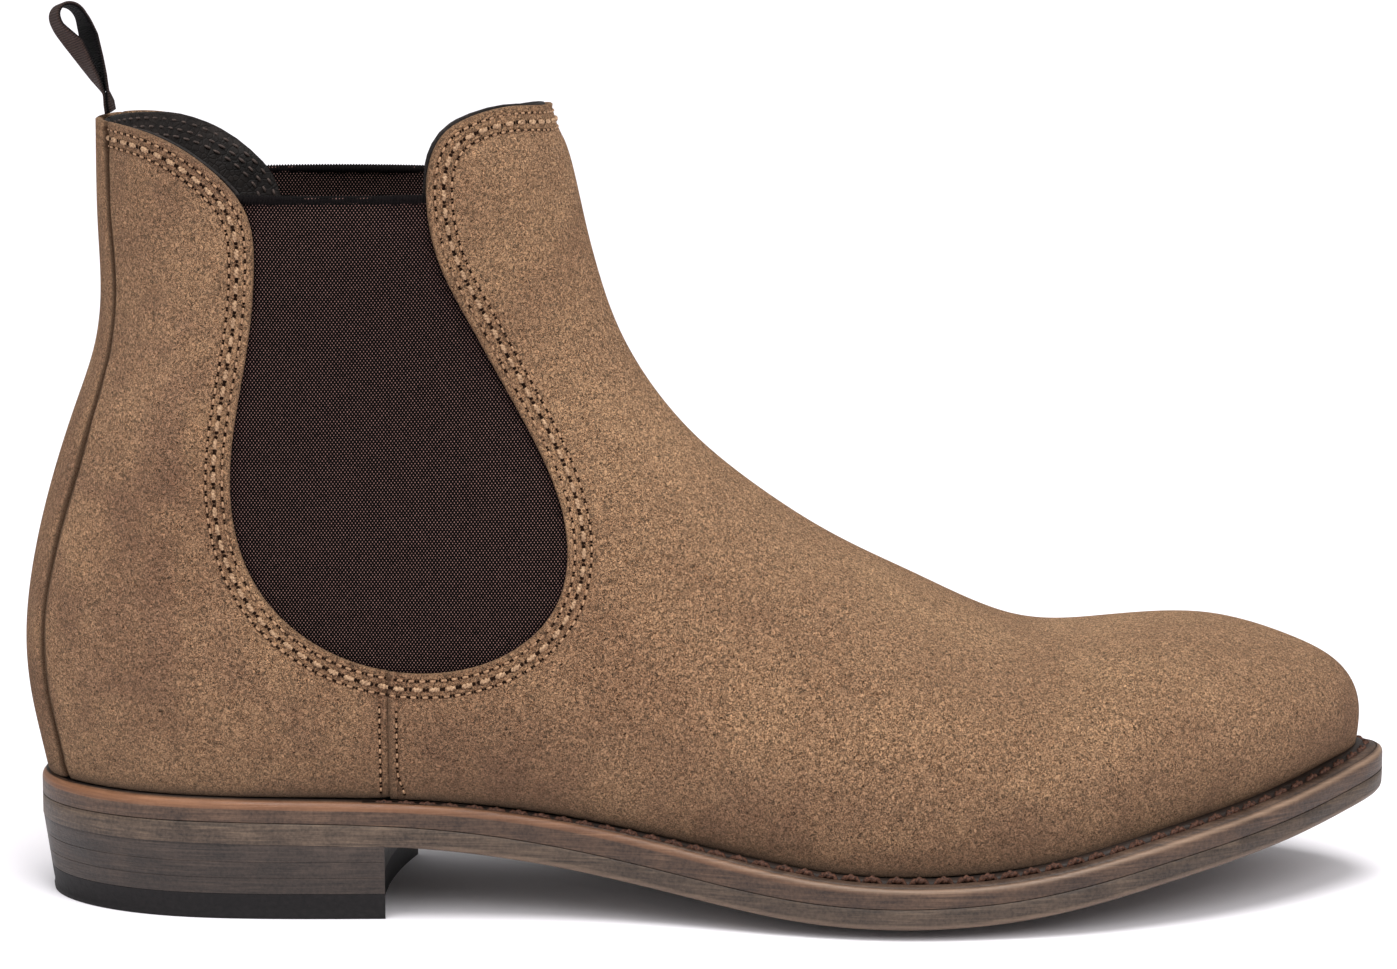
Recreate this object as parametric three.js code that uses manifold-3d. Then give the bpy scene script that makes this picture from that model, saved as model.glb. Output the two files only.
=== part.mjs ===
// A right-foot chelsea boot: suede upper with two elastic side gussets, welted leather sole,
// stacked heel with a rubber top lift, and a ribbon pull loop.
// Millimetres. +X points to the toe, +Z up, -Y is the outer (lateral) side of the foot.
// The origin is on the floor, at the middle of the boot's footprint box.
import * as THREE from 'three';
import { mergeVertices } from 'three/addons/utils/BufferGeometryUtils.js';
import Module from 'manifold-3d';

const wasm = await Module();
wasm.setup();

// ---------------------------------------------------------------- driving dimensions
const GAP = 0.3; // between pieces that touch
const TOE_X = 153.5; // welt tip
const HEEL_X = -151; // back of the sole

const UPPER_T = 1.5; // suede
const MIDDLE_DEPTH = 1.9; // how deep the elastic and the stiffeners lie under the outer face
const ELASTIC_T = 1.1;
const STIFFENER_T = 1.0;
const STIFFENER_LIFT = 1; // how far the stiffeners stay above the seat
const LINING_DEPTH = 3.5;
const LINING_T = 0.9;

const OUTSOLE_T = 4.8;
const SOLE_BEVEL = 1.1;
const WELT_BEVEL = 1.2;
const STITCH_PLACE = 0.55; // of the way from the welt's edge to the upper
const WELT_REACH = 12; // how far the welt runs in under the upper
const BOARD_T = 2.4;
const SOCK_T = 1.2;
const TOP_LIFT_T = 5.8;
const LIFTS = 3;
const HEEL_TAPER = 2.4; // how much smaller the heel is at the floor
const BREAST_X = -70; // front face of the heel
const BREAST_DIP = 3; // how far its middle is hollowed towards the back
const HEEL_TOP = 17; // height over which the heel tapers
const HEEL_SETBACK = 0.3; // of the stack behind the outsole's edge
const NAIL_R = 0.9;
const NAIL_TOP = 20;
const NAIL_CLEAR = 0.5; // below the nails, in their holes
const NAIL_PLACES = [[-134, 0], [-124, -17], [-124, 16], [-96, -21], [-96, 19]];
const WELT_END = 0.735; // reach of the heel's breast, where the welt ends and the rand begins
const STITCH_END = 0.71; // reach of the welt stitch's two ends
const THREAD_R = 0.45;
const SHANK = { from: -112, to: -18, y: -2.5, halfWidth: 6, thickness: 1.4, lift: 0.5 };

const SEAM_X = -70.2; // side seam between vamp and quarters
const GUSSET_HIDDEN = 8; // elastic that runs under the leather edge
const ELASTIC_TOP = 159.8;
// Half the back strip's width, [height, half].
const STRIP_HALF = [
  [20, 14.4], [45, 14.4], [62, 15.2], [80, 16.6], [98, 17.6], [112, 16.8], [127, 15], [150, 14.2],
  [172, 13.2], [250, 13.2],
];

const LOOP_ROOT = [-133.1, 0, 175.7];
const LOOP_HEIGHT = 26.2;
const LOOP_LEG = [
  [0, 0.75], [4.5, 0.8], [9, 1.5], [13, 2.9], [16.5, 4.2], [19.5, 4.7], [22.2, 4.4], [24.4, 3.1],
]; // [up, out]
const LOOP_WIDTH = 8; // ribbon width
const LOOP_T = 0.9; // ribbon thickness
const LOOP_LEAN = 19; // degrees, towards the back
const LOOP_TWIST = 17; // degrees, at the top

// The sole's edge seen from above, toe tip first, outer side, heel back, inner side.
const OUTLINE_OUTER = [
  [TOE_X, 8], [151.6, 0.7], [145.5, -7], [135, -17.5], [120, -29.5], [102, -40],
  [84, -47.2], [62, -51.9], [40, -52.95], [16, -48.6], [-5, -42], [-25, -37.4],
  [-50, -35.3], [-75, -35.4], [-100, -35.3], [-122, -32], [-138, -23.8], [-147.6, -12.8],
];
const OUTLINE_INNER = [
  [HEEL_X, 0], [-147.6, 12.6], [-138, 23.4], [-122, 31], [-100, 33.2], [-75, 30], [-50, 26.4], [-25, 27],
  [-5, 32], [14, 40], [36, 49.6], [59, 52.95], [84, 51.4], [102, 47.2], [120, 40.3], [135, 32],
  [146, 23.2], [151.6, 15.2],
];

// Heights along the boot: underside of the outsole at its edge, and how far its middle bulges down.
const SOLE_EDGE = spline([
  [HEEL_X, 17.4], [-90, 17.2], [-60, 15.8], [-30, 11.6], [0, 6], [20, 3.2], [42, 2.35], [70, 4.2],
  [102, 10.2], [130, 15.5], [TOE_X, 21],
]);
const SOLE_CROWN = spline([[HEEL_X, 0], [-70, 0], [-20, 1], [42, 2.35], [100, 1.6], [TOE_X, 0.8]]);
const WELT_T = spline([[HEEL_X, 4.9], [-70, 4.7], [-15, 5.4], [40, 4.1], [TOE_X, 4.3]]);
// Rise of the welt's top per mm inwards.
const WELT_RISE = spline([[HEEL_X, 0.1], [0, 0.08], [50, 0.1], [100, 0.16], [TOE_X, 0.24]]);
// How far the foot of the upper stands in from the sole's edge.
const UPPER_INSET = spline([
  [HEEL_X, 1.8], [-140, 2.5], [-100, 3.2], [-60, 3.8], [-20, 5.2], [15, 7.4], [45, 8.2],
  [100, 7.8], [TOE_X, 6.4],
]);

const outsoleTop = (x) => SOLE_EDGE(x) + OUTSOLE_T;
const weltTop = (x) => outsoleTop(x) + GAP + WELT_T(x);
const seatTop = (x) => weltTop(x) + WELT_RISE(x) * UPPER_INSET(x);
// The foot of the upper on the middle line, at the toe and at the heel, [x, z].
const footAt = (x) => [x, seatTop(x) + GAP];
const TOE_FOOT = footAt(TOE_X - UPPER_INSET(TOE_X));
const TOE_Y = OUTLINE_OUTER[0][1];
const HEEL_FOOT = footAt(HEEL_X + UPPER_INSET(HEEL_X));

// Stations of the upper, from the toe tip over the vamp and up the shaft. Each holds
// reach: share of the sole's edge covered, from 0 at the toe to 1 at the heel's back,
// or past 1 the height that is reached on the back seam;
// ridge: the point on the middle line of the vamp, instep and shin, [x, z];
// wide: the half-widths on the outer and the inner side;
// shape: where along the section it is widest, and its roundness above and below that.
const STATIONS = [
  { reach: 0, ridge: TOE_FOOT, wide: [0, 0], shape: [0.62, 2.1, 2.2] },
  { reach: 0.035, ridge: [147.6, 36.5], wide: [8.3, 8.3], shape: [0.62, 2.1, 2.2] },
  { reach: 0.075, ridge: [147, 43], wide: [17.2, 17.2], shape: [0.63, 2.1, 2.2] },
  { reach: 0.115, ridge: [142.3, 49.8], wide: [24.9, 24.9], shape: [0.64, 2.1, 2.2] },
  { reach: 0.16, ridge: [131, 55.8], wide: [32.1, 32.1], shape: [0.65, 2.1, 2.2] },
  { reach: 0.215, ridge: [113, 60.5], wide: [38.8, 38.8], shape: [0.66, 2.1, 2.2] },
  { reach: 0.275, ridge: [91, 60], wide: [43.4, 43.5], shape: [0.66, 2.05, 2.2] },
  { reach: 0.335, ridge: [70, 60.5], wide: [45.4, 45.4], shape: [0.66, 2, 2.2] },
  { reach: 0.4, ridge: [47, 70.3], wide: [44.9, 44.2], shape: [0.66, 1.95, 2.2] },
  { reach: 0.47, ridge: [24, 82.4], wide: [41, 38.3], shape: [0.66, 1.9, 2.2] },
  { reach: 0.55, ridge: [4, 96.2], wide: [36.6, 32.6], shape: [0.65, 1.88, 2.2] },
  { reach: 0.65, ridge: [-9, 109.2], wide: [35, 31.6], shape: [0.64, 1.88, 2.2] },
  { reach: 0.76, ridge: [-17, 120.5], wide: [34.6, 32.2], shape: [0.63, 1.9, 2.25] },
  { reach: 0.87, ridge: [-21.6, 130], wide: [34.5, 32.8], shape: [0.6, 1.92, 2.3] },
  { reach: 0.95, ridge: [-24.2, 138], wide: [34.4, 33.2], shape: [0.58, 1.94, 2.25] },
  { reach: 1, ridge: [-25.9, 144.5], wide: [34.3, 33.4], shape: [0.56, 1.96, 2.15] },
  { back: 55, ridge: [-27.3, 150.5], wide: [34.4, 33.7], shape: [0.54, 1.98, 2.15] },
  { back: 88, ridge: [-29, 158.3], wide: [35.4, 35], shape: [0.52, 2, 2.1] },
  { back: 124, ridge: [-31.2, 166.6], wide: [37.4, 37.2], shape: [0.5, 2, 2] },
  { back: 153, ridge: [-33.6, 173], wide: [38.3, 38.3], shape: [0.5, 2, 2] },
  { back: 185, ridge: [-36.6, 185], wide: [38.8, 38.8], shape: [0.5, 2, 2] },
];
const HEEL_STATION = STATIONS.findIndex((station) => station.reach === 1);
const LAST_STATION = STATIONS.length - 1;
// The boot's middle line seen from above, and the heel's back seen from the side.
const RIDGE_Y = spline([[-160, 0], [-40, 0], [30, 1.5], [100, 4.5], [TOE_FOOT[0], TOE_Y]]);
const BACK_X = spline([
  [HEEL_FOOT[1], HEEL_FOOT[0]], [33, -150.3], [44, -152.5], [56, -153.5], [74, -151.7],
  [93, -147.1], [111, -141.1], [123, -137], [134, -135.3], [150, -135.5], [176, -135.5], [185, -135.5],
]);

// The leather edge seen from the side: topline, down and round the gusset, and topline again.
// Its front corner stands higher on the outer side.
const WINDOW_FRONT = {
  outer: [[-34.5, 177.4], [-42, 178.3], [-50, 177], [-56.5, 173.6], [-60, 167]],
  inner: [[-34.5, 177.4], [-42, 175.2], [-50, 172.8], [-56.5, 169], [-60, 163.8]],
};
const WINDOW_REST = [
  [-60.6, 158], [-58.5, 146], [-52, 131.5], [-43, 114.5], [-35, 99], [-31, 84], [-33, 71.5],
  [-42, 61.5], [-56, 56.2], [-72, 56.4], [-88, 63], [-99.5, 75.5], [-104.3, 93], [-103.3, 109.6],
  [-100, 128], [-98.5, 143], [-100, 156.5], [-107, 165], [-117.5, 171.3], [-128, 174], [-137, 174.4],
];
// The heel counter's front and top edge, and where the toe puff begins.
const COUNTER_EDGE = [[-78, 0], [-78, 42], [-98, 47], [-114, 62], [-119, 80], [-130, 92]];
const COUNTER_TOP = 96;
const TOE_PUFF_X = 92;

// ---------------------------------------------------------------- colours
const SUEDE = { color: 0x99775d, roughness: 0.95, metalness: 0 };
const ELASTIC = { color: 0x332625, roughness: 0.9, metalness: 0 };
const LINING = { color: 0x2f2724, roughness: 0.6, metalness: 0 };
const RIBBON = { color: 0x4a3b38, roughness: 0.8, metalness: 0 };
const WELT_LEATHER = { color: 0x7d583f, roughness: 0.5, metalness: 0 };
const SOLE_LEATHER = { color: 0x5a4b40, roughness: 0.55, metalness: 0 };
const STACK_LEATHER = { color: 0x534843, roughness: 0.55, metalness: 0 };
const RUBBER = { color: 0x353134, roughness: 0.7, metalness: 0 };
const THREAD = { color: 0x3a2820, roughness: 0.8, metalness: 0 };
const BOARD = { color: 0xb08e68, roughness: 0.9, metalness: 0 };
const CORK = { color: 0xa9855c, roughness: 0.95, metalness: 0 };
const STIFFENER = { color: 0xd8cdbb, roughness: 0.9, metalness: 0 };
const STEEL = { color: 0x8d9196, roughness: 0.35, metalness: 1 };
const BRASS = { color: 0xb59a4c, roughness: 0.35, metalness: 1 };

// ---------------------------------------------------------------- curves
// A natural cubic spline through [x, y] points with rising x, as a function of x.
function spline(points) {
  const n = points.length;
  const bend = new Array(n).fill(0);
  const carry = new Array(n).fill(0);
  for (let i = 1; i < n - 1; i++) {
    const before = points[i][0] - points[i - 1][0];
    const after = points[i + 1][0] - points[i][0];
    const turn = (points[i + 1][1] - points[i][1]) / after - (points[i][1] - points[i - 1][1]) / before;
    const pivot = 2 * (before + after) - before * carry[i - 1];
    carry[i] = after / pivot;
    bend[i] = (6 * turn - before * bend[i - 1]) / pivot;
  }
  for (let i = n - 2; i > 0; i--) bend[i] -= carry[i] * bend[i + 1];
  return (x) => {
    let i = 0;
    while (i < n - 2 && x > points[i + 1][0]) i++;
    const [x0, y0] = points[i];
    const [x1, y1] = points[i + 1];
    const h = x1 - x0;
    const b = (x - x0) / h;
    const a = 1 - b;
    return a * y0 + b * y1 + (((a ** 3 - a) * bend[i] + (b ** 3 - b) * bend[i + 1]) * h * h) / 6;
  };
}

// A smooth curve through points of two coordinates, as a function of the running length.
function curveThrough(points) {
  const run = [0];
  for (let i = 1; i < points.length; i++) {
    const step = Math.hypot(points[i][0] - points[i - 1][0], points[i][1] - points[i - 1][1]);
    run.push(run[i - 1] + step);
  }
  const across = spline(points.map((p, i) => [run[i], p[0]]));
  const up = spline(points.map((p, i) => [run[i], p[1]]));
  return { at: (length) => [across(length), up(length)], run };
}

// The sole's edge as a closed curve; the wrapped points make it smooth where it closes.
const WRAP = 4;
const outlinePoints = [...OUTLINE_OUTER, ...OUTLINE_INNER];
const outline = curveThrough([
  ...outlinePoints.slice(-WRAP),
  ...outlinePoints,
  ...outlinePoints.slice(0, WRAP + 1),
]);
const TOE_RUN = outline.run[WRAP];
const HEEL_RUN = outline.run[WRAP + OUTLINE_OUTER.length];
const END_RUN = outline.run[WRAP + outlinePoints.length];

// A point on one side of the sole's edge, moved inwards. reach runs from 0 at the toe to 1 at the heel.
function edgePoint(side, reach, inset) {
  const run = side < 0 ? TOE_RUN + reach * (HEEL_RUN - TOE_RUN) : END_RUN - reach * (END_RUN - HEEL_RUN);
  const [x, y] = outline.at(run);
  const [x1, y1] = outline.at(run + 0.5);
  const length = Math.hypot(x1 - x, y1 - y);
  const moved = typeof inset === 'function' ? inset(x) : inset;
  return [x + ((y1 - y) / length) * moved, y - ((x1 - x) / length) * moved];
}

// ---------------------------------------------------------------- solids
function closedGeometry(positions, triangles) {
  const flat = new THREE.BufferGeometry();
  flat.setAttribute('position', new THREE.Float32BufferAttribute(positions.flat(), 3));
  flat.setIndex(triangles.flat());
  const merged = mergeVertices(flat, 1e-3);
  const index = merged.index.array;
  const kept = [];
  for (let i = 0; i < index.length; i += 3) {
    const [a, b, c] = [index[i], index[i + 1], index[i + 2]];
    if (a !== b && b !== c && c !== a) kept.push(a, b, c);
  }
  merged.setIndex(kept);
  return merged;
}

function toSolid(geometry) {
  const bare = geometry.clone();
  bare.deleteAttribute('normal');
  bare.deleteAttribute('uv');
  const merged = mergeVertices(bare, 1e-4);
  return new wasm.Manifold(
    new wasm.Mesh({
      numProp: 3,
      vertProperties: merged.attributes.position.array,
      triVerts: new Uint32Array(merged.index.array),
    }),
  );
}

function toGeometry(solid) {
  const mesh = solid.getMesh();
  const geometry = new THREE.BufferGeometry();
  geometry.setAttribute('position', new THREE.BufferAttribute(new Float32Array(mesh.vertProperties), 3));
  geometry.setIndex(new THREE.BufferAttribute(new Uint32Array(mesh.triVerts), 1));
  return geometry;
}

// Joins rings of points, each ring with as many points, into a closed solid.
// The rings turn anticlockwise seen from the last ring.
function ringLoft(rings) {
  const count = rings[0].length;
  const triangles = [];
  for (let i = 0; i + 1 < rings.length; i++) {
    for (let j = 0; j < count; j++) {
      const a = i * count + j;
      const b = i * count + ((j + 1) % count);
      triangles.push([a, b, b + count], [a, b + count, a + count]);
    }
  }
  const first = capOf(rings[0]);
  const last = capOf(rings[rings.length - 1]);
  const offset = (rings.length - 1) * count;
  first.forEach(([a, b, c]) => triangles.push([c, b, a]));
  last.forEach(([a, b, c]) => triangles.push([a + offset, b + offset, c + offset]));
  return closedGeometry(rings.flat(), triangles);
}

// Triangles over a ring of points, turning as the ring does.
function capOf(ring) {
  const points = ring.map((p) => new THREE.Vector3(...p));
  const middle = points.reduce((sum, p) => sum.add(p), new THREE.Vector3()).divideScalar(points.length);
  const normal = new THREE.Vector3();
  points.forEach((p, i) => {
    const next = points[(i + 1) % points.length];
    normal.add(p.clone().sub(middle).cross(next.clone().sub(middle)));
  });
  if (normal.length() < 1e-6) return [];
  normal.normalize();
  const right = points[0].clone().sub(middle);
  right.addScaledVector(normal, -right.dot(normal)).normalize();
  const up = normal.clone().cross(right);
  const flat = points.map((p) => {
    const arm = p.clone().sub(middle);
    return new THREE.Vector2(arm.dot(right), arm.dot(up));
  });
  return THREE.ShapeUtils.triangulateShape(flat, []);
}

// A prism across the boot: an outline of [x, z] points from y0 to y1.
function prism(points, y0, y1) {
  const shape = new THREE.Shape(points.map(([x, z]) => new THREE.Vector2(x, z)));
  const geometry = new THREE.ExtrudeGeometry(shape, { depth: y1 - y0, bevelEnabled: false });
  geometry.rotateX(Math.PI / 2);
  geometry.translate(0, y1, 0);
  return toSolid(geometry);
}

const box = (x0, x1, y0, y1, z0, z1) => {
  const geometry = new THREE.BoxGeometry(x1 - x0, y1 - y0, z1 - z0);
  geometry.translate((x0 + x1) / 2, (y0 + y1) / 2, (z0 + z1) / 2);
  return toSolid(geometry);
};

// ---------------------------------------------------------------- the upper's outer face
const along = (pick) => spline(STATIONS.map((station, i) => [i, pick(station)]));
const ridgeX = along((station) => station.ridge[0]);
const ridgeZ = along((station) => station.ridge[1]);
const wideOuter = along((station) => station.wide[0]);
const wideInner = along((station) => station.wide[1]);
const widestAt = along((station) => station.shape[0]);
const roundAbove = along((station) => station.shape[1]);
const roundBelow = along((station) => station.shape[2]);
const footStations = STATIONS.slice(0, HEEL_STATION + 1);
const reachAt = spline(footStations.map((station, i) => [i, station.reach]));
const backStations = STATIONS.slice(HEEL_STATION);
const backZ = spline(backStations.map((station, i) => [HEEL_STATION + i, station.back ?? HEEL_FOOT[1]]));

// The lower end of a section: on the seat's edge, or past the heel on the back seam.
function lowerEnd(s, side) {
  if (s >= HEEL_STATION) {
    const z = backZ(s);
    return [BACK_X(z), 0, z];
  }
  const [x, y] = edgePoint(side, Math.max(0, reachAt(s)), UPPER_INSET);
  return [x, y, seatTop(x) + GAP];
}

const WIDEST_ANGLE = 0.4;
// A point of the outer face: station s, side -1 or 1, and angle from 0 on the ridge to 1 at the lower end.
function facePoint(s, side, angle) {
  if (s === 0) return [TOE_FOOT[0], TOE_Y, TOE_FOOT[1]];
  const end = lowerEnd(s, side);
  const other = lowerEnd(s, -side);
  const low = Math.abs(end[1] - other[1]) / 2;
  const lowY = (end[1] + other[1]) / 2;
  const wide = Math.max(side < 0 ? wideOuter(s) : wideInner(s), low * 1.02, 1e-6);
  const widest = widestAt(s);
  const above = 2 / roundAbove(s);
  const below = 2 / roundBelow(s);
  const quarter = Math.PI / 2;
  const lastAngle = Math.acos(Math.min(1, low / wide) ** (1 / below));
  let v;
  let w;
  if (angle <= WIDEST_ANGLE) {
    const turn = (angle / WIDEST_ANGLE) * quarter;
    v = widest * (1 - Math.cos(turn) ** above);
    w = wide * Math.sin(turn) ** above;
  } else {
    const turn = ((angle - WIDEST_ANGLE) / (1 - WIDEST_ANGLE)) * lastAngle;
    v = widest + ((1 - widest) * Math.sin(turn) ** below) / Math.sin(lastAngle) ** below;
    w = wide * Math.cos(turn) ** below;
  }
  const ridge = [ridgeX(s), RIDGE_Y(ridgeX(s)), ridgeZ(s)];
  const middleY = ridge[1] + (lowY - ridge[1]) * v;
  return [ridge[0] + (end[0] - ridge[0]) * v, middleY + side * w, ridge[2] + (end[2] - ridge[2]) * v];
}

// The outer face as an open mesh with normals; the section's angles run from one seat edge over the ridge.
function outerFace(stationSteps, halfSteps) {
  const positions = [];
  const triangles = [];
  const count = 2 * halfSteps + 1;
  for (let i = 0; i <= stationSteps; i++) {
    const s = (LAST_STATION * i) / stationSteps;
    for (let j = -halfSteps; j <= halfSteps; j++) {
      positions.push(facePoint(s, j < 0 ? -1 : 1, Math.abs(j) / halfSteps));
    }
  }
  for (let i = 0; i < stationSteps; i++) {
    for (let j = 0; j + 1 < count; j++) {
      const a = i * count + j;
      triangles.push([a, a + 1, a + count + 1], [a, a + count + 1, a + count]);
    }
  }
  const face = closedGeometry(positions, triangles);
  face.computeVertexNormals();
  return face;
}

// A layer of even thickness under the outer face, from one depth to another.
function layer(face, depth, thickness) {
  const position = face.attributes.position;
  const normal = face.attributes.normal;
  const index = [...face.index.array];
  const count = position.count;
  const positions = [];
  for (const d of [depth, depth + thickness]) {
    for (let i = 0; i < count; i++) {
      positions.push([
        position.getX(i) - d * normal.getX(i),
        position.getY(i) - d * normal.getY(i),
        position.getZ(i) - d * normal.getZ(i),
      ]);
    }
  }
  const edges = new Set();
  const triangles = [];
  for (let i = 0; i < index.length; i += 3) {
    const [a, b, c] = index.slice(i, i + 3);
    triangles.push([a, b, c], [c + count, b + count, a + count]);
    for (const [from, to] of [[a, b], [b, c], [c, a]]) edges.add(from + ' ' + to);
  }
  for (const edge of edges) {
    const [from, to] = edge.split(' ').map(Number);
    if (!edges.has(to + ' ' + from)) triangles.push([to, from, from + count], [to, from + count, to + count]);
  }
  return toSolid(closedGeometry(positions, triangles));
}

// ---------------------------------------------------------------- cutters
const FAR = 250;
const WINDOW_STEPS = 52;
function windowEdge(side) {
  const curve = curveThrough([...(side < 0 ? WINDOW_FRONT.outer : WINDOW_FRONT.inner), ...WINDOW_REST]);
  return Array.from({ length: WINDOW_STEPS + 1 }, (_, i) => curve.at((curve.run.at(-1) * i) / WINDOW_STEPS));
}

// Moves an open line of [x, z] points sideways, away from the window's middle.
function grow(points, distance) {
  return points.map(([x, z], i) => {
    const [x0, z0] = points[Math.max(0, i - 1)];
    const [x1, z1] = points[Math.min(points.length - 1, i + 1)];
    const length = Math.hypot(x1 - x0, z1 - z0);
    return [x - ((z1 - z0) / length) * distance, z + ((x1 - x0) / length) * distance];
  });
}

// Everything inside the gusset windows and above the topline.
function windowCutter() {
  const half = (side) => [[-15, 178], ...windowEdge(side), [-FAR, 174.4], [-FAR, FAR], [-15, FAR]];
  return prism(half(-1), -FAR, 0).add(prism(half(1), 0, FAR));
}

// The elastic's own outline, with the strips hidden under the leather, on one side of the boot.
function gussetCutter(side) {
  const body = windowEdge(side).filter(([, z]) => z < ELASTIC_TOP + GUSSET_HIDDEN);
  const grown = grow(body, GUSSET_HIDDEN).filter(([, z]) => z < ELASTIC_TOP);
  const first = grown[0];
  const last = grown[grown.length - 1];
  const lined = [[first[0], ELASTIC_TOP], ...grown, [last[0], ELASTIC_TOP]];
  return side < 0 ? prism(lined, -FAR, -5) : prism(lined, 5, FAR);
}

// The slot for the back strip, wider by room on each side.
function stripCutter(room) {
  const ring = (x) => [
    ...STRIP_HALF.map(([z, half]) => [x, half + room, z]),
    ...STRIP_HALF.map(([z, half]) => [x, -half - room, z]).reverse(),
  ];
  return toSolid(ringLoft([ring(-FAR), ring(-100)]));
}

// ---------------------------------------------------------------- the boot's pieces
const boot = new THREE.Group();
const face = outerFace(28, 10);

function addPiece(name, geometry, look) {
  const mesh = new THREE.Mesh(geometry, new THREE.MeshStandardMaterial(look));
  mesh.name = name;
  boot.add(mesh);
}

function addUpper() {
  const shell = layer(face, 0, UPPER_T).subtract(windowCutter());
  const front = box(SEAM_X + GAP / 2, FAR, -FAR, FAR, 0, FAR);
  const back = box(-FAR, SEAM_X - GAP / 2, -FAR, FAR, 0, FAR);
  addPiece('vamp', toGeometry(shell.intersect(front)), SUEDE);
  const quarters = shell.intersect(back).subtract(stripCutter(GAP));
  addPiece('quarter_lateral', toGeometry(quarters.intersect(box(-FAR, FAR, -FAR, 0, 0, FAR))), SUEDE);
  addPiece('quarter_medial', toGeometry(quarters.intersect(box(-FAR, FAR, 0, FAR, 0, FAR))), SUEDE);
  addPiece('back_strip', toGeometry(shell.intersect(stripCutter(0))), SUEDE);
}

function addGussets() {
  const sheet = layer(face, MIDDLE_DEPTH, ELASTIC_T);
  addPiece('gusset_lateral', toGeometry(sheet.intersect(gussetCutter(-1))), ELASTIC);
  addPiece('gusset_medial', toGeometry(sheet.intersect(gussetCutter(1))), ELASTIC);
}

function addStiffeners() {
  const low = toSolid(plate(1, 0, 30, 0, () => -10, (x) => seatTop(x) + GAP + STIFFENER_LIFT));
  const sheet = layer(face, MIDDLE_DEPTH, STIFFENER_T).subtract(low);
  const counter = [[-FAR, 0], ...COUNTER_EDGE, [-FAR, COUNTER_TOP]];
  addPiece('heel_counter', toGeometry(sheet.intersect(prism(counter, -FAR, FAR))), STIFFENER);
  addPiece('toe_puff', toGeometry(sheet.intersect(box(TOE_PUFF_X, FAR, -FAR, FAR, 0, FAR))), STIFFENER);
}

function addLining() {
  const shell = layer(face, LINING_DEPTH, LINING_T).subtract(windowCutter());
  const front = box(SEAM_X + GAP / 2, FAR, -FAR, FAR, 0, FAR);
  const back = box(-FAR, SEAM_X - GAP / 2, -FAR, FAR, 0, FAR);
  addPiece('lining_vamp', toGeometry(shell.intersect(front)), LINING);
  addPiece('lining_quarters', toGeometry(shell.intersect(back)), LINING);
}

// A plate that follows the sole: sections from the heel end to the toe end.
// inset is how far its edge lies inside the sole's edge; bottom and top are heights along x.
function plate(fromReach, toReach, steps, inset, bottom, top) {
  const rings = [];
  for (let i = 0; i <= steps; i++) {
    const reach = fromReach + (toReach - fromReach) * i / steps;
    const [x0, y0] = edgePoint(-1, reach, inset);
    const [x1, y1] = edgePoint(1, reach, inset);
    rings.push([[x0, y0, bottom(x0)], [x1, y1, bottom(x1)], [x1, y1, top(x1)], [x0, y0, top(x0)]]);
  }
  return ringLoft(rings);
}

function addOutsole(nails) {
  const steps = 36;
  const rings = [];
  for (let i = 0; i <= steps; i++) {
    const reach = 1 - i / steps;
    const [ox, oy] = edgePoint(-1, reach, 0);
    const [ix, iy] = edgePoint(1, reach, 0);
    const [obx, oby] = edgePoint(-1, reach, SOLE_BEVEL);
    const [ibx, iby] = edgePoint(1, reach, SOLE_BEVEL);
    const under = [0.25, 0.5, 0.75].map((t) => {
      const x = obx + (ibx - obx) * t;
      const crown = SOLE_CROWN(x) * (1 - (2 * t - 1) ** 2) * Math.min(1, 4 * reach, 4 * (1 - reach));
      return [x, oby + (iby - oby) * t, SOLE_EDGE(x) - crown];
    });
    rings.push([
      [ox, oy, SOLE_EDGE(ox) + SOLE_BEVEL], [obx, oby, SOLE_EDGE(obx)], ...under, [ibx, iby, SOLE_EDGE(ibx)],
      [ix, iy, SOLE_EDGE(ix) + SOLE_BEVEL], [ix, iy, outsoleTop(ix)], [ox, oy, outsoleTop(ox)],
    ]);
  }
  const sole = nails.reduce((solid, nail) => solid.subtract(nail), toSolid(ringLoft(rings)));
  addPiece('outsole', toGeometry(sole), SOLE_LEATHER);
}

// The strip between upper and outsole, as an open ring from one place on the edge to another.
function edgeStrip(stops) {
  const rings = stops.map(([side, reach]) => {
    const [x, y] = edgePoint(side, reach, 0);
    const [bx, by] = edgePoint(side, reach, WELT_BEVEL * 0.6);
    const [sx, sy] = edgePoint(side, reach, UPPER_INSET);
    const [nx, ny] = edgePoint(side, reach, WELT_REACH);
    const bottom = outsoleTop(x) + GAP;
    return [
      [x, y, bottom], [nx, ny, outsoleTop(nx) + GAP], [nx, ny, seatTop(nx)], [sx, sy, seatTop(sx)],
      [bx, by, weltTop(bx)], [x, y, weltTop(x) - WELT_BEVEL],
    ];
  });
  return ringLoft(rings);
}

function addWelt() {
  const steps = 30;
  const forepart = [];
  for (let i = steps; i > 0; i--) forepart.push([-1, (WELT_END * i) / steps]);
  for (let i = 0; i <= steps; i++) forepart.push([1, (WELT_END * i) / steps]);
  addPiece('welt', edgeStrip(forepart), WELT_LEATHER);
  const half = 9;
  const rear = [];
  const start = WELT_END + 0.001;
  for (let i = 0; i <= half; i++) rear.push([1, start + ((1 - start) * i) / half]);
  for (let i = half - 1; i >= 0; i--) rear.push([-1, start + ((1 - start) * i) / half]);
  addPiece('heel_rand', edgeStrip(rear), WELT_LEATHER);
}

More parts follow.
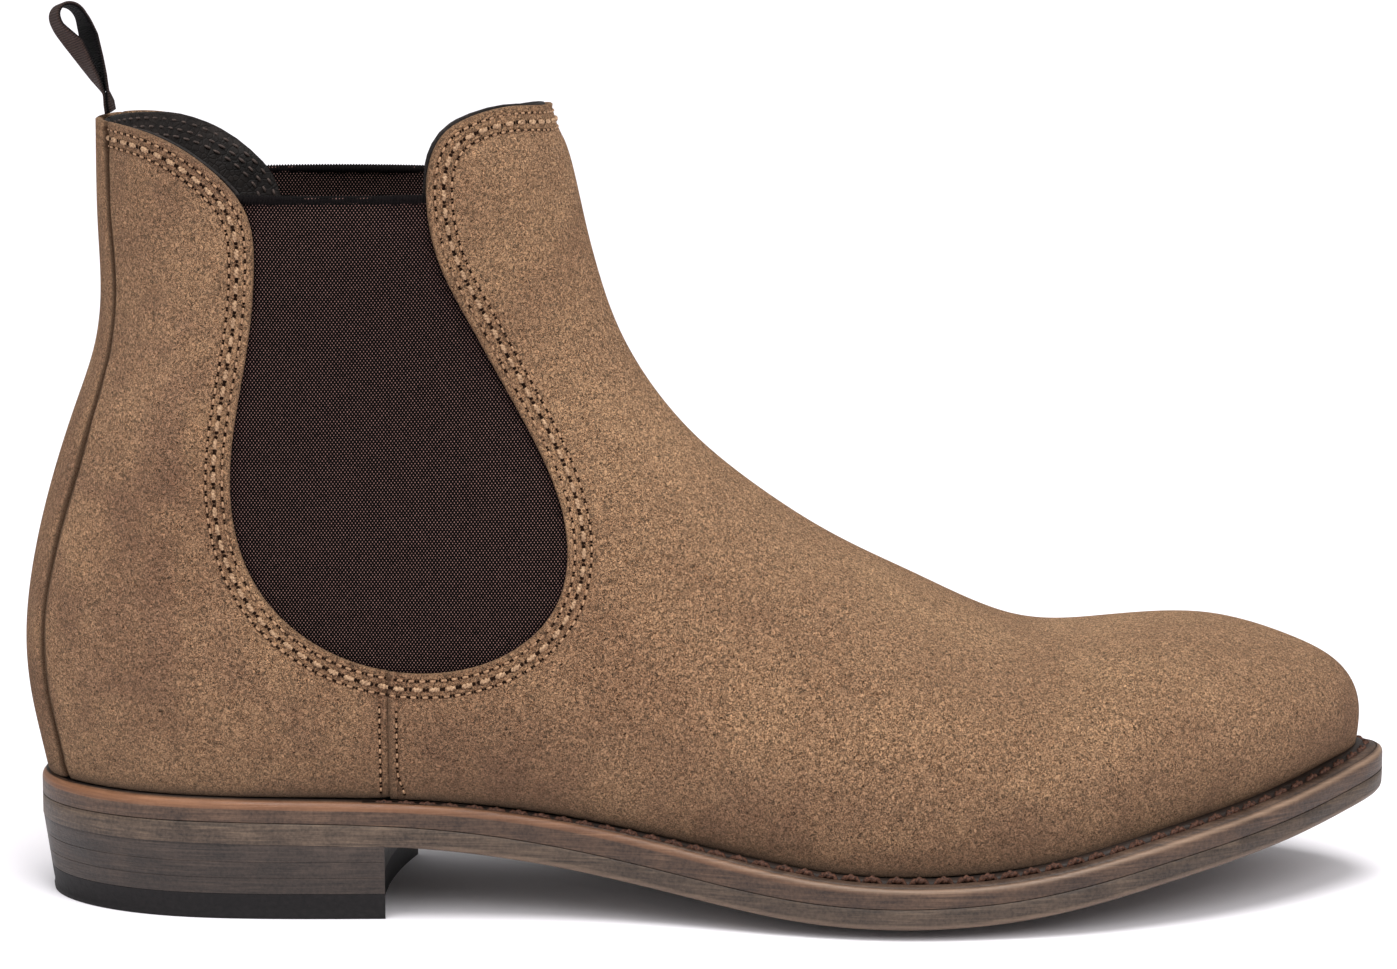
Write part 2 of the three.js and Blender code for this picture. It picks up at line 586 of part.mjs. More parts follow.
function addInside() {
  const seat = (x) => seatTop(x) + GAP;
  const inside = (room) => (x) => UPPER_INSET(x) + LINING_DEPTH + LINING_T + room;
  const boardTop = (x) => seat(x) + BOARD_T;
  addPiece('insole_board', plate(0.992, 0.008, 30, inside(1.4), seat, boardTop), BOARD);
  const sockTop = (x) => boardTop(x) + GAP + SOCK_T;
  addPiece('sock_liner', plate(0.992, 0.008, 30, inside(2), (x) => boardTop(x) + GAP, sockTop), LINING);
  const floor = (x) => outsoleTop(x) + GAP;
  const filler = plate(0.5, 0.03, 20, WELT_REACH + GAP, floor, (x) => seatTop(x));
  addPiece('cork_filler', filler, CORK);
  addPiece('shank', shank(floor), STEEL);
}

// The steel spring in the waist: a thin bent bar from the heel seat to the ball.
function shank(floor) {
  const steps = 14;
  const [left, right] = [SHANK.y + SHANK.halfWidth, SHANK.y - SHANK.halfWidth];
  const rings = [];
  for (let i = 0; i <= steps; i++) {
    const x = SHANK.from + ((SHANK.to - SHANK.from) * i) / steps;
    const z = floor(x) + SHANK.lift;
    const top = z + SHANK.thickness;
    rings.push([[x, right, z], [x, left, z], [x, left, top], [x, right, top]]);
  }
  return ringLoft(rings);
}

// The heel's outline at a height, from the breast round the back and across the hollow breast.
function heelRing(inset, height) {
  const steps = 12;
  const breastSteps = 6;
  const ring = [];
  for (const side of [-1, 1]) {
    for (let i = 0; i <= steps; i++) {
      const share = side < 0 ? i / steps : 1 - i / steps;
      if (side > 0 && i === 0) continue;
      const start = side < 0 ? HEEL_REACH_OUTER : HEEL_REACH_INNER;
      const [x, y] = edgePoint(side, start + (1 - start) * share, inset);
      ring.push([x, y, height(x)]);
    }
  }
  const [x0, y0] = ring[ring.length - 1];
  const [x1, y1] = ring[0];
  for (let i = 1; i < breastSteps; i++) {
    const share = i / breastSteps;
    const dip = BREAST_DIP * (1 - (2 * share - 1) ** 2);
    const x = x0 + (x1 - x0) * share - dip;
    ring.push([x, y0 + (y1 - y0) * share, height(x)]);
  }
  return ring.reverse();
}

// How far round from the toe each side's edge reaches the heel's breast.
function reachOfX(side, x) {
  let [low, high] = [0.5, 1];
  for (let i = 0; i < 30; i++) {
    const middle = (low + high) / 2;
    if (edgePoint(side, middle, 0)[0] > x) low = middle;
    else high = middle;
  }
  return low;
}
const HEEL_REACH_OUTER = reachOfX(-1, BREAST_X - 1.5);
const HEEL_REACH_INNER = reachOfX(1, BREAST_X + 2.5);

function nailShape(radius, bottom, top, [x, y]) {
  const geometry = new THREE.CylinderGeometry(radius, radius, top - bottom, 8);
  geometry.rotateX(Math.PI / 2);
  geometry.translate(x, y, (top + bottom) / 2);
  return geometry;
}

function addHeel() {
  const nailBottom = TOP_LIFT_T + GAP + NAIL_CLEAR;
  const hole = (place) => toSolid(nailShape(NAIL_R + GAP, TOP_LIFT_T - 1, NAIL_TOP + GAP, place));
  const holes = NAIL_PLACES.map(hole);
  const stackTop = (x) => SOLE_EDGE(x) - GAP;
  const liftStep = (HEEL_TOP - TOP_LIFT_T) / LIFTS;
  const taper = (z) => HEEL_TAPER * (1 - z / HEEL_TOP) + HEEL_SETBACK;
  const rubber = ringLoft([
    heelRing(taper(0), () => 0),
    heelRing(taper(TOP_LIFT_T), () => TOP_LIFT_T),
  ]);
  addPiece('top_lift', rubber, RUBBER);
  for (let k = 0; k < LIFTS; k++) {
    const bottom = TOP_LIFT_T + k * liftStep + GAP;
    const top = TOP_LIFT_T + (k + 1) * liftStep;
    const upper = k === LIFTS - 1 ? stackTop : () => top;
    const lift = toSolid(ringLoft([heelRing(taper(bottom), () => bottom), heelRing(taper(top), upper)]));
    const drilled = holes.reduce((solid, bore) => solid.subtract(bore), lift);
    addPiece(`heel_lift_${LIFTS - k}`, toGeometry(drilled), STACK_LEATHER);
  }
  NAIL_PLACES.forEach((place, i) => {
    addPiece(`heel_nail_${i + 1}`, nailShape(NAIL_R, nailBottom, NAIL_TOP, place), BRASS);
  });
  addOutsole(holes);
}

// The thread that shows along the welt, from the outer breast round the toe to the inner one.
function addWeltStitch() {
  const points = [];
  const steps = 34;
  const place = (side, reach) => {
    const [x, y] = edgePoint(side, reach, (at) => UPPER_INSET(at) * STITCH_PLACE);
    const z = weltTop(x) + WELT_RISE(x) * UPPER_INSET(x) * STITCH_PLACE;
    points.push(new THREE.Vector3(x, y, z + THREAD_R + GAP));
  };
  for (let i = steps; i > 0; i--) place(-1, (STITCH_END * i) / steps);
  for (let i = 0; i <= steps; i++) place(1, (STITCH_END * i) / steps);
  const path = new THREE.CatmullRomCurve3(points);
  const section = new THREE.Shape();
  section.absarc(0, 0, THREAD_R, 0, 2 * Math.PI);
  const options = { steps: 60, curveSegments: 3, bevelEnabled: false, extrudePath: path };
  addPiece('welt_stitch', new THREE.ExtrudeGeometry(section, options), THREAD);
}

// The ribbon: up one leg, round the top and down the other, then twisted and leaned back.
function addPullLoop() {
  const teardrop = [
    ...LOOP_LEG,
    [LOOP_HEIGHT - LOOP_T / 2, 0],
    ...LOOP_LEG.map(([up, out]) => [up, -out]).reverse(),
  ];
  const line = curveThrough(teardrop);
  const steps = 38;
  const length = line.run.at(-1);
  const rings = [];
  const lean = THREE.MathUtils.degToRad(-LOOP_LEAN);
  for (let i = 0; i <= steps; i++) {
    const at = (length * i) / steps;
    const [up, out] = line.at(at);
    const [up1, out1] = line.at(at + 0.1);
    const run = Math.hypot(up1 - up, out1 - out);
    const side = [-(out1 - out) / run, (up1 - up) / run];
    const twist = THREE.MathUtils.degToRad(LOOP_TWIST) * THREE.MathUtils.smoothstep(up, 2, LOOP_HEIGHT * 0.8);
    const corner = (across, thick) =>
      new THREE.Vector3(out + side[1] * thick, across, up + side[0] * thick)
        .applyAxisAngle(new THREE.Vector3(0, 0, 1), twist)
        .applyAxisAngle(new THREE.Vector3(0, 1, 0), lean)
        .toArray();
    const [w, t] = [LOOP_WIDTH / 2, LOOP_T / 2];
    rings.push([corner(-w, -t), corner(-w, t), corner(w, t), corner(w, -t)]);
  }
  const geometry = ringLoft(rings);
  geometry.translate(...LOOP_ROOT);
  addPiece('pull_loop', geometry, RIBBON);
}

addUpper();
addGussets();
addStiffeners();
addLining();
addWelt();
addWeltStitch();
addInside();
addHeel();
addPullLoop();

export default boot;
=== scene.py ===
# A right-foot chelsea boot. Every length in this file is in millimetres until make() scales it to metres.
# The curves and stations repeat those of the CAD part, so each piece lies where its CAD node lies.
import math

import bpy
import numpy as np
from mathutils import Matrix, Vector


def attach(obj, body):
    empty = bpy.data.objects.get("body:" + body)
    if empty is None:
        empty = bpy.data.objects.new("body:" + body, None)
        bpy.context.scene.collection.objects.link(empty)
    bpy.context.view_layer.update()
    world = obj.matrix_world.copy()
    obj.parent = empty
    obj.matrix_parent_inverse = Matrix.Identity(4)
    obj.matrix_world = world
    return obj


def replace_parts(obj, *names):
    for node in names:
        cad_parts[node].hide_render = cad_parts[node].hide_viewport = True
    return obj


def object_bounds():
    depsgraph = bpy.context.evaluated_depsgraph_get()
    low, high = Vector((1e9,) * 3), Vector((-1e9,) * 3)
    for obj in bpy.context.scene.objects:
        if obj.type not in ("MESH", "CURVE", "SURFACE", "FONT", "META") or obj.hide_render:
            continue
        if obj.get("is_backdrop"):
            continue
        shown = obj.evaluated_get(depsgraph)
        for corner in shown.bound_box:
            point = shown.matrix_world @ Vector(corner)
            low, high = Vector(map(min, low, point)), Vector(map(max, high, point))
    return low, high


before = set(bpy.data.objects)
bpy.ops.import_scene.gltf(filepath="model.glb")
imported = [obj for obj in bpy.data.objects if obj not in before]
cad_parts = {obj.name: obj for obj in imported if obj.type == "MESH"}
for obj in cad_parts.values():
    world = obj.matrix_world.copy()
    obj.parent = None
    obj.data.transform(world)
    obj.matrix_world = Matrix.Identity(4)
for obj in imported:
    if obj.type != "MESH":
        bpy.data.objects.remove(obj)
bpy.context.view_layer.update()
MM = 0.001

# ---- dimensions shared with the CAD part
GAP = 0.3
TOE_X = 153.5
HEEL_X = -151.0
UPPER_T = 1.5
MIDDLE_DEPTH = 1.9
ELASTIC_T = 1.1
LINING_DEPTH = 3.5
LINING_T = 0.9
OUTSOLE_T = 4.8
WELT_REACH = 12.0
WELT_END = 0.735
STITCH_END = 0.731
STITCH_PLACE = 0.62
BOARD_T = 2.4
SOCK_T = 1.2
TOP_LIFT_T = 5.8
LIFTS = 3
HEEL_TOP = 17.0
HEEL_TAPER = 2.4
HEEL_SETBACK = 0.15
BREAST_X = -70.0
BREAST_DIP = 3.0
SEAM_X = -70.2
ELASTIC_TOP = 159.8
ELASTIC_LAP = 7.0
ELASTIC_BACK = -113.0
STRIP_HALF = [
    (20, 14.4), (45, 14.4), (62, 15.2), (80, 16.6), (98, 17.6), (112, 16.8), (127, 15), (150, 14.2),
    (172, 13.2), (250, 13.2),
]
LOOP_ROOT = np.array([-133.1, 0.0, 175.2])
LOOP_HEIGHT = 26.2
LOOP_LEAN = 22.5
# height above the loop's root: degrees of twist, and how far the loop bows forwards
LOOP_TWIST = [(0, 0), (2, 0), (4, 7), (8, 20), (12, 28), (17, 38), (20, 31), (22, 25), (27, 22)]
LOOP_BOW = [(0, 0.4), (2, 0.9), (4, 1.2), (8, 1.1), (12, 1.0), (17, 0.8), (22, 0.1), (27, -0.3)]
FAR = 250.0

OUTLINE_OUTER = [
    (TOE_X, 8), (151.6, 0.7), (145.5, -7), (135, -17.5), (120, -29.5), (102, -40),
    (84, -47.2), (62, -51.9), (40, -52.95), (16, -48.6), (-5, -42), (-25, -37.4),
    (-50, -35.3), (-75, -35.4), (-100, -35.3), (-122, -32), (-138, -23.8), (-147.6, -12.8),
]
OUTLINE_INNER = [
    (HEEL_X, 0), (-147.6, 12.6), (-138, 23.4), (-122, 31), (-100, 33.2), (-75, 30),
    (-50, 26.4), (-25, 27), (-5, 32), (14, 40), (36, 49.6), (59, 52.95),
    (84, 51.4), (102, 47.2), (120, 40.3), (135, 32), (146, 23.2), (151.6, 15.2),
]


class Spline:
    """A natural cubic spline through (x, y) points with rising x."""

    def __init__(self, points):
        x, y = np.array(points, float).T
        n = len(x)
        bend, carry = np.zeros(n), np.zeros(n)
        for i in range(1, n - 1):
            before, after = x[i] - x[i - 1], x[i + 1] - x[i]
            turn = (y[i + 1] - y[i]) / after - (y[i] - y[i - 1]) / before
            pivot = 2 * (before + after) - before * carry[i - 1]
            carry[i] = after / pivot
            bend[i] = (6 * turn - before * bend[i - 1]) / pivot
        for i in range(n - 2, 0, -1):
            bend[i] -= carry[i] * bend[i + 1]
        self.x, self.y, self.bend = x, y, bend

    def __call__(self, at):
        at = np.asarray(at, float)
        i = np.clip(np.searchsorted(self.x, at) - 1, 0, len(self.x) - 2)
        h = self.x[i + 1] - self.x[i]
        b = (at - self.x[i]) / h
        a = 1 - b
        curve = (a**3 - a) * self.bend[i] + (b**3 - b) * self.bend[i + 1]
        return a * self.y[i] + b * self.y[i + 1] + curve * h * h / 6


def table(pairs, at):
    """A value read off (place, value) pairs, straight between them."""
    return np.interp(at, *np.array(pairs, float).T)


SOLE_EDGE = Spline([
    (HEEL_X, 17.4), (-90, 17.2), (-60, 15.8), (-30, 11.6), (0, 6), (20, 3.2), (42, 2.35), (70, 4.2),
    (102, 10.2), (130, 15.5), (TOE_X, 21),
])
SOLE_CROWN = Spline([(HEEL_X, 0), (-70, 0), (-20, 1), (42, 2.35), (100, 1.6), (TOE_X, 0.8)])
WELT_T = Spline([(HEEL_X, 4.9), (-70, 4.7), (-15, 5.4), (40, 4.1), (TOE_X, 4.3)])
WELT_RISE = Spline([(HEEL_X, 0.1), (0, 0.08), (50, 0.1), (100, 0.16), (TOE_X, 0.24)])
UPPER_INSET = Spline([
    (HEEL_X, 1.8), (-140, 2.5), (-100, 3.2), (-60, 3.8), (-20, 5.2), (15, 7.4), (45, 8.2),
    (100, 7.8), (TOE_X, 6.4),
])


def outsole_top(x):
    return SOLE_EDGE(x) + OUTSOLE_T


def welt_top(x):
    return outsole_top(x) + GAP + WELT_T(x)


def seat_top(x):
    return welt_top(x) + WELT_RISE(x) * UPPER_INSET(x)


def foot_at(x):
    return float(x), float(seat_top(x) + GAP)


TOE_FOOT = foot_at(TOE_X - UPPER_INSET(TOE_X))
HEEL_FOOT = foot_at(HEEL_X + UPPER_INSET(HEEL_X))
TOE_Y = 8.0

# reach or height on the back seam, ridge x and z, half-widths, and the section's shape.
STATIONS = [
    (0, *TOE_FOOT, 0, 0, 0.62, 2.1, 2.2),
    (0.035, 147.6, 36.5, 8.3, 8.3, 0.62, 2.1, 2.2),
    (0.075, 147, 43, 17.2, 17.2, 0.63, 2.1, 2.2),
    (0.115, 142.3, 49.8, 24.9, 24.9, 0.64, 2.1, 2.2),
    (0.16, 131, 55.8, 32.1, 32.1, 0.65, 2.1, 2.2),
    (0.215, 113, 60.5, 38.8, 38.8, 0.66, 2.1, 2.2),
    (0.275, 91, 60, 43.4, 43.5, 0.66, 2.05, 2.2),
    (0.335, 70, 60.5, 45.4, 45.4, 0.66, 2, 2.2),
    (0.4, 47, 70.3, 44.9, 44.2, 0.66, 1.95, 2.2),
    (0.47, 24, 82.4, 41, 38.3, 0.66, 1.9, 2.2),
    (0.55, 4, 96.2, 36.6, 32.6, 0.65, 1.88, 2.2),
    (0.65, -9, 109.2, 35, 31.6, 0.64, 1.88, 2.2),
    (0.76, -17, 120.5, 34.6, 32.2, 0.63, 1.9, 2.25),
    (0.87, -21.6, 130, 34.5, 32.8, 0.6, 1.92, 2.3),
    (0.95, -24.2, 138, 34.4, 33.2, 0.58, 1.94, 2.25),
    (1, -25.9, 144.5, 34.3, 33.4, 0.56, 1.96, 2.15),
    (55, -27.3, 150.5, 34.4, 33.7, 0.54, 1.98, 2.15),
    (88, -29, 158.3, 35.4, 35, 0.52, 2, 2.1),
    (124, -31.2, 166.6, 37.4, 37.2, 0.5, 2, 2),
    (153, -33.6, 173, 38.3, 38.3, 0.5, 2, 2),
    (185, -36.6, 185, 38.8, 38.8, 0.5, 2, 2),
]
HEEL_STATION = 15
LAST_STATION = len(STATIONS) - 1
RIDGE_Y = Spline([(-160, 0), (-40, 0), (30, 1.5), (100, 4.5), (TOE_FOOT[0], TOE_Y)])
BACK_X = Spline([
    (HEEL_FOOT[1], HEEL_FOOT[0]), (33, -150.3), (44, -152.5), (56, -153.5), (74, -151.7),
    (93, -147.1), (111, -141.1), (123, -137), (134, -135.3), (150, -135.5), (176, -135.5), (185, -135.5),
])
WINDOW_FRONT = {
    -1: [(-34.5, 177.4), (-42, 178.3), (-50, 177), (-56.5, 173.6), (-60, 167)],
    1: [(-34.5, 177.4), (-42, 175.2), (-50, 172.8), (-56.5, 169), (-60, 163.8)],
}
WINDOW_REST = [
    (-60.6, 158), (-58.5, 146), (-52, 131.5), (-43, 114.5), (-35, 99), (-31, 84), (-33, 71.5),
    (-42, 61.5), (-56, 56.2), (-72, 56.4), (-88, 63), (-99.5, 75.5), (-104.3, 93), (-103.3, 109.6),
    (-100, 128), (-98.5, 143), (-100, 156.5), (-107, 165), (-117.5, 171.3), (-128, 174), (-137, 174.4),
]


# ---- curves and the boot's outer face
class Curve:
    """A smooth curve through points, as a function of the running length."""

    def __init__(self, points):
        p = np.array(points, float)
        steps = np.linalg.norm(np.diff(p, axis=0), axis=1)
        self.run = np.concatenate([[0], np.cumsum(steps)])
        self.parts = [Spline(np.column_stack([self.run, p[:, k]])) for k in range(p.shape[1])]

    def __call__(self, length):
        return np.stack([part(length) for part in self.parts], -1)


WRAP = 4
outline_points = OUTLINE_OUTER + OUTLINE_INNER
outline = Curve(outline_points[-WRAP:] + outline_points + outline_points[: WRAP + 1])
TOE_RUN = outline.run[WRAP]
HEEL_RUN = outline.run[WRAP + len(OUTLINE_OUTER)]
END_RUN = outline.run[WRAP + len(outline_points)]


def edge_point(side, reach, inset):
    """A point of the sole's edge, moved inwards; reach is 0 at the toe and 1 at the heel's back."""
    side, reach = np.broadcast_arrays(np.asarray(side, float), np.asarray(reach, float))
    outer = TOE_RUN + reach * (HEEL_RUN - TOE_RUN)
    inner = END_RUN - reach * (END_RUN - HEEL_RUN)
    run = np.where(side < 0, outer, inner)
    here, ahead = outline(run), outline(run + 0.5)
    step = ahead - here
    length = np.linalg.norm(step, axis=-1)
    moved = inset(here[..., 0]) if callable(inset) else inset
    x = here[..., 0] + step[..., 1] / length * moved
    y = here[..., 1] - step[..., 0] / length * moved
    return x, y


station_table = np.array(STATIONS, float)
station_number = np.arange(len(STATIONS))


def along(column, first=0, last=None):
    rows = station_number[first:last]
    return Spline(np.column_stack([rows, station_table[first:last, column]]))


reach_at = along(0, 0, HEEL_STATION + 1)
back_rows = station_table[HEEL_STATION:, 0].copy()
back_rows[0] = HEEL_FOOT[1]
back_z = Spline(np.column_stack([station_number[HEEL_STATION:], back_rows]))
ridge_x, ridge_z, wide_outer, wide_inner, widest_at, round_above, round_below = (
    along(column) for column in range(1, 8)
)
WIDEST_ANGLE = 0.4
QUARTER_TURN = math.pi / 2


def lower_end(s, side):
    x, y = edge_point(side, np.maximum(reach_at(np.minimum(s, HEEL_STATION)), 0), UPPER_INSET)
    z = seat_top(x) + GAP
    height = back_z(s)
    on_back = s >= HEEL_STATION
    return np.stack([
        np.where(on_back, BACK_X(height), x),
        np.where(on_back, 0, y),
        np.where(on_back, height, z),
    ], -1)


def face_point(s, t):
    """The outer face: station s, and t from -1 (outer lower end) over 0 (the ridge) to 1."""
    s, t = np.broadcast_arrays(np.asarray(s, float), np.asarray(t, float))
    side = np.where(t < 0, -1.0, 1.0)
    angle = np.abs(t)
    end, other = lower_end(s, side), lower_end(s, -side)
    low = np.abs(end[..., 1] - other[..., 1]) / 2
    low_y = (end[..., 1] + other[..., 1]) / 2
    wide = np.maximum(np.maximum(np.where(side < 0, wide_outer(s), wide_inner(s)), low * 1.02), 1e-6)
    widest, above, below = widest_at(s), 2 / round_above(s), 2 / round_below(s)
    last_angle = np.arccos(np.minimum(1, low / wide) ** (1 / below))
    turn = np.clip(angle / WIDEST_ANGLE, 0, 1) * QUARTER_TURN
    v_up = widest * (1 - np.maximum(np.cos(turn), 0) ** above)
    w_up = wide * np.sin(turn) ** above
    turn = np.clip((angle - WIDEST_ANGLE) / (1 - WIDEST_ANGLE), 0, 1) * last_angle
    v_low = widest + (1 - widest) * np.sin(turn) ** below / np.sin(last_angle) ** below
    w_low = wide * np.cos(turn) ** below
    v = np.where(angle <= WIDEST_ANGLE, v_up, v_low)
    w = np.where(angle <= WIDEST_ANGLE, w_up, w_low)
    ridge = np.stack([ridge_x(s), RIDGE_Y(ridge_x(s)), ridge_z(s)], -1)
    point = ridge + (end - ridge) * v[..., None]
    point[..., 1] = ridge[..., 1] + (low_y - ridge[..., 1]) * v + side * w
    point[s <= 0] = (TOE_FOOT[0], TOE_Y, TOE_FOOT[1])
    return point


def face_x(params):
    return face_point(*params.T)[:, 0]


def face_z(params):
    return face_point(*params.T)[:, 2]


def face_normal(s, t):
    ds, dt = 0.02, 0.006
    s_low, s_high = np.maximum(s - ds, 0.004), np.minimum(s + ds, LAST_STATION)
    t_low, t_high = np.maximum(t - dt, -1), np.minimum(t + dt, 1)
    middle = np.maximum(s, 0.02)
    across = face_point(middle, t_high) - face_point(middle, t_low)
    up = face_point(np.maximum(s_high, 0.04), t) - face_point(s_low, t)
    normal = np.cross(across, up)
    return normal / np.maximum(np.linalg.norm(normal, axis=-1, keepdims=True), 1e-12)


# ---- the leather edge
def window_line(side):
    curve = Curve(WINDOW_FRONT[side] + WINDOW_REST)
    return curve(np.linspace(0, curve.run[-1], 320))


window_rings = {
    side: np.vstack([[(-15, 178)], window_line(side), [(-FAR, 174.4), (-FAR, FAR), (-15, FAR)]])
    for side in (-1, 1)
}


def ring_distance(ring, x, z):
    """Signed distance to a closed ring, positive outside."""
    a, b = ring, np.roll(ring, -1, axis=0)
    best = np.full(x.shape, 1e9)
    inside = np.zeros(x.shape, bool)
    for (x0, z0), (x1, z1) in zip(a, b):
        dx, dz = x1 - x0, z1 - z0
        share = np.clip(((x - x0) * dx + (z - z0) * dz) / (dx * dx + dz * dz), 0, 1)
        best = np.minimum(best, (x - x0 - share * dx) ** 2 + (z - z0 - share * dz) ** 2)
        if dz:
            crosses = (z0 > z) != (z1 > z)
            inside ^= crosses & (x < x0 + dx * (z - z0) / dz)
    return np.where(inside, -1, 1) * np.sqrt(best)


def edge_distance(params):
    """How far inside the leather a point lies from the topline or gusset edge."""
    p = face_point(*params.T)
    result = np.empty(len(p))
    for side in (-1, 1):
        chosen = (params[:, 1] < 0) == (side < 0)
        result[chosen] = ring_distance(window_rings[side], p[chosen, 0], p[chosen, 2])
    return result


def strip_half(z):
    return table(STRIP_HALF, z)


# ---- patches of the face
def link(a, b):
    """One name for the edge between two vertices, whichever comes first."""
    return (a, b) if a < b else (b, a)


class Patch:
    """Part of the outer face: params holds (s, t) of each vertex, faces the polygons."""

    def __init__(self, params, faces):
        self.params, self.faces = params, faces

    def points(self):
        return face_point(*self.params.T)

    def normals(self):
        return face_normal(*self.params.T)

    def clipped(self, field):
        """The part where field(params) is positive, cut exactly along zero."""
        params = self.params.copy()
        value = field(params)
        pairs = set()
        for face in self.faces:
            for a, b in zip(face, face[1:] + face[:1]):
                if (value[a] > 0) != (value[b] > 0):
                    pairs.add(link(a, b))
        pairs = np.array(sorted(pairs), int).reshape(-1, 2)
        low, high = np.zeros(len(pairs)), np.ones(len(pairs))
        start, end = params[pairs[:, 0]], params[pairs[:, 1]]
        sign = np.sign(value[pairs[:, 0]])
        for _ in range(14):
            middle = (low + high) / 2
            same = np.sign(field(start + (end - start) * middle[:, None])) == sign
            low, high = np.where(same, middle, low), np.where(same, high, middle)
        share = (low + high) / 2
        cut = start + (end - start) * share[:, None]
        for k in np.argsort(np.minimum(share, 1 - share)):
            v = pairs[k, 0] if share[k] < 0.5 else pairs[k, 1]
            if min(share[k], 1 - share[k]) < 0.22 and value[v] != 0:
                params[v], value[v] = cut[k], 0
        new_at, extra = {}, []
        for k, (a, b) in enumerate(pairs):
            if value[a] * value[b] < 0:
                new_at[(a, b)] = len(params) + len(extra)
                extra.append(cut[k])
        kept = []
        for face in self.faces:
            if not (value[face] > 0).any():
                continue
            ring = []
            for a, b in zip(face, face[1:] + face[:1]):
                if value[a] >= 0:
                    ring.append(a)
                if value[a] * value[b] < 0:
                    ring.append(new_at[link(a, b)])
            if len(ring) > 2:
                kept.append(ring)
        if extra:
            params = np.vstack([params, extra])
        used = np.unique(np.concatenate([np.array(face) for face in kept]))
        renumber = np.full(len(params), -1)
        renumber[used] = np.arange(len(used))
        return Patch(params[used], [[int(renumber[v]) for v in face] for face in kept])


def face_grid(sections, half_steps):
    s = np.linspace(0, LAST_STATION, sections + 1)
    t = np.linspace(-1, 1, 2 * half_steps + 1)
    params = np.stack(np.meshgrid(s, t, indexing="ij"), -1).reshape(-1, 2)
    count = len(t)
    corners = [i * count + j for i in range(sections) for j in range(count - 1)]
    return Patch(params, [[a, a + 1, a + count + 1, a + count] for a in corners])


def seam_field(way, room):
    """Positive in front of the side seam where way is 1, and behind it where way is -1."""
    return lambda params: way * (face_x(params) - SEAM_X) - room


def strip_field(way, room):
    """Positive on the back strip where way is 1, and beside it where way is -1."""
    def field(params):
        p = face_point(*params.T)
        return way * (strip_half(p[:, 2]) - np.abs(p[:, 1])) - room
    return field


def side_field(side, room=0.0):
    return lambda params: side * params[:, 1] - room


# ---- making objects
def make(name, points, faces, material, body, attributes=None, sharp=None):
    mesh = bpy.data.meshes.new(name)
    mesh.from_pydata((np.asarray(points, float) * MM).tolist(), [], faces)
    mesh.update()
    mesh.shade_smooth()
    if sharp:
        mesh.set_sharp_from_angle(angle=math.radians(sharp))
    for key, values in (attributes or {}).items():
        layer = mesh.attributes.new(key, "FLOAT", "POINT")
        layer.data.foreach_set("value", np.asarray(values, np.float32))
    mesh.materials.append(material)
    piece = bpy.data.objects.new(name, mesh)
    bpy.context.scene.collection.objects.link(piece)
    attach(piece, body)
    return piece


def border_edges(faces):
    """Directed border edges of a patch."""
    seen = {}
    for face in faces:
        for a, b in zip(face, face[1:] + face[:1]):
            seen[(a, b)] = seen.get((a, b), 0) + 1
    return [(a, b) for a, b in seen if (b, a) not in seen]


RIM_STEPS = 4


def shell(name, patch, depth, thickness, material, height=0.0, rim=0.35, attributes=None):
    """A closed layer under the face, with rounded edges. height lifts the outer side only."""
    p, n = patch.points(), patch.normals()
    count = len(p)
    depth = np.broadcast_to(np.asarray(depth, float), count)[:, None]
    height = np.broadcast_to(np.asarray(height, float), count)[:, None]
    outer = p - n * (depth - height)
    inner = p - n * (depth + thickness)
    edges = border_edges(patch.faces)
    out = np.zeros((count, 3))
    for a, b in edges:
        along_edge = p[b] - p[a]
        length = np.linalg.norm(along_edge)
        if length > 1e-9:
            direction = np.cross(along_edge / length, (n[a] + n[b]) / 2)
            out[a] += direction
            out[b] += direction
    border = np.array(sorted({v for edge in edges for v in edge}), int)
    length = np.linalg.norm(out[border], axis=1, keepdims=True)
    out[border] /= np.maximum(length, 1e-9)
    place = np.full(count, -1)
    place[border] = np.arange(len(border))
    middle = (outer[border] + inner[border]) / 2
    half = (outer[border] - inner[border]) / 2
    rings = []
    for k in range(1, RIM_STEPS):
        turn = math.pi * k / RIM_STEPS
        rings.append(middle + half * math.cos(turn) + out[border] * rim * math.sin(turn))
    points = np.vstack([outer, inner, *rings])
    every = np.arange(count)
    levels = [2 * count + k * len(border) + place for k in range(RIM_STEPS - 1)]
    levels = np.array([every, *levels, count + every]).tolist()
    faces = patch.faces + [[v + count for v in reversed(face)] for face in patch.faces]
    for a, b in edges:
        for here, ahead in zip(levels, levels[1:]):
            faces.append([here[b], here[a], ahead[a], ahead[b]])
    data = {}
    for key, values in (attributes or {}).items():
        data[key] = np.concatenate([values, values] + [values[border]] * (RIM_STEPS - 1))
    data["rim"] = np.concatenate([np.zeros(2 * count), np.ones(len(border) * (RIM_STEPS - 1))])
    return make(name, points, faces, material, "boot", data)


def lofted(rings):
    """Points and faces through rings of equal count, with a flat cap at each end."""
    rings = np.array(rings, float)
    count, around = rings.shape[:2]
    faces = []
    for low in range(0, (count - 1) * around, around):
        for j in range(around):
            k = (j + 1) % around
            faces.append([low + j, low + k, low + around + k, low + around + j])
    faces.append(list(range(around - 1, -1, -1)))
    faces.append(list(range((count - 1) * around, count * around)))
    return rings.reshape(-1, 3), faces


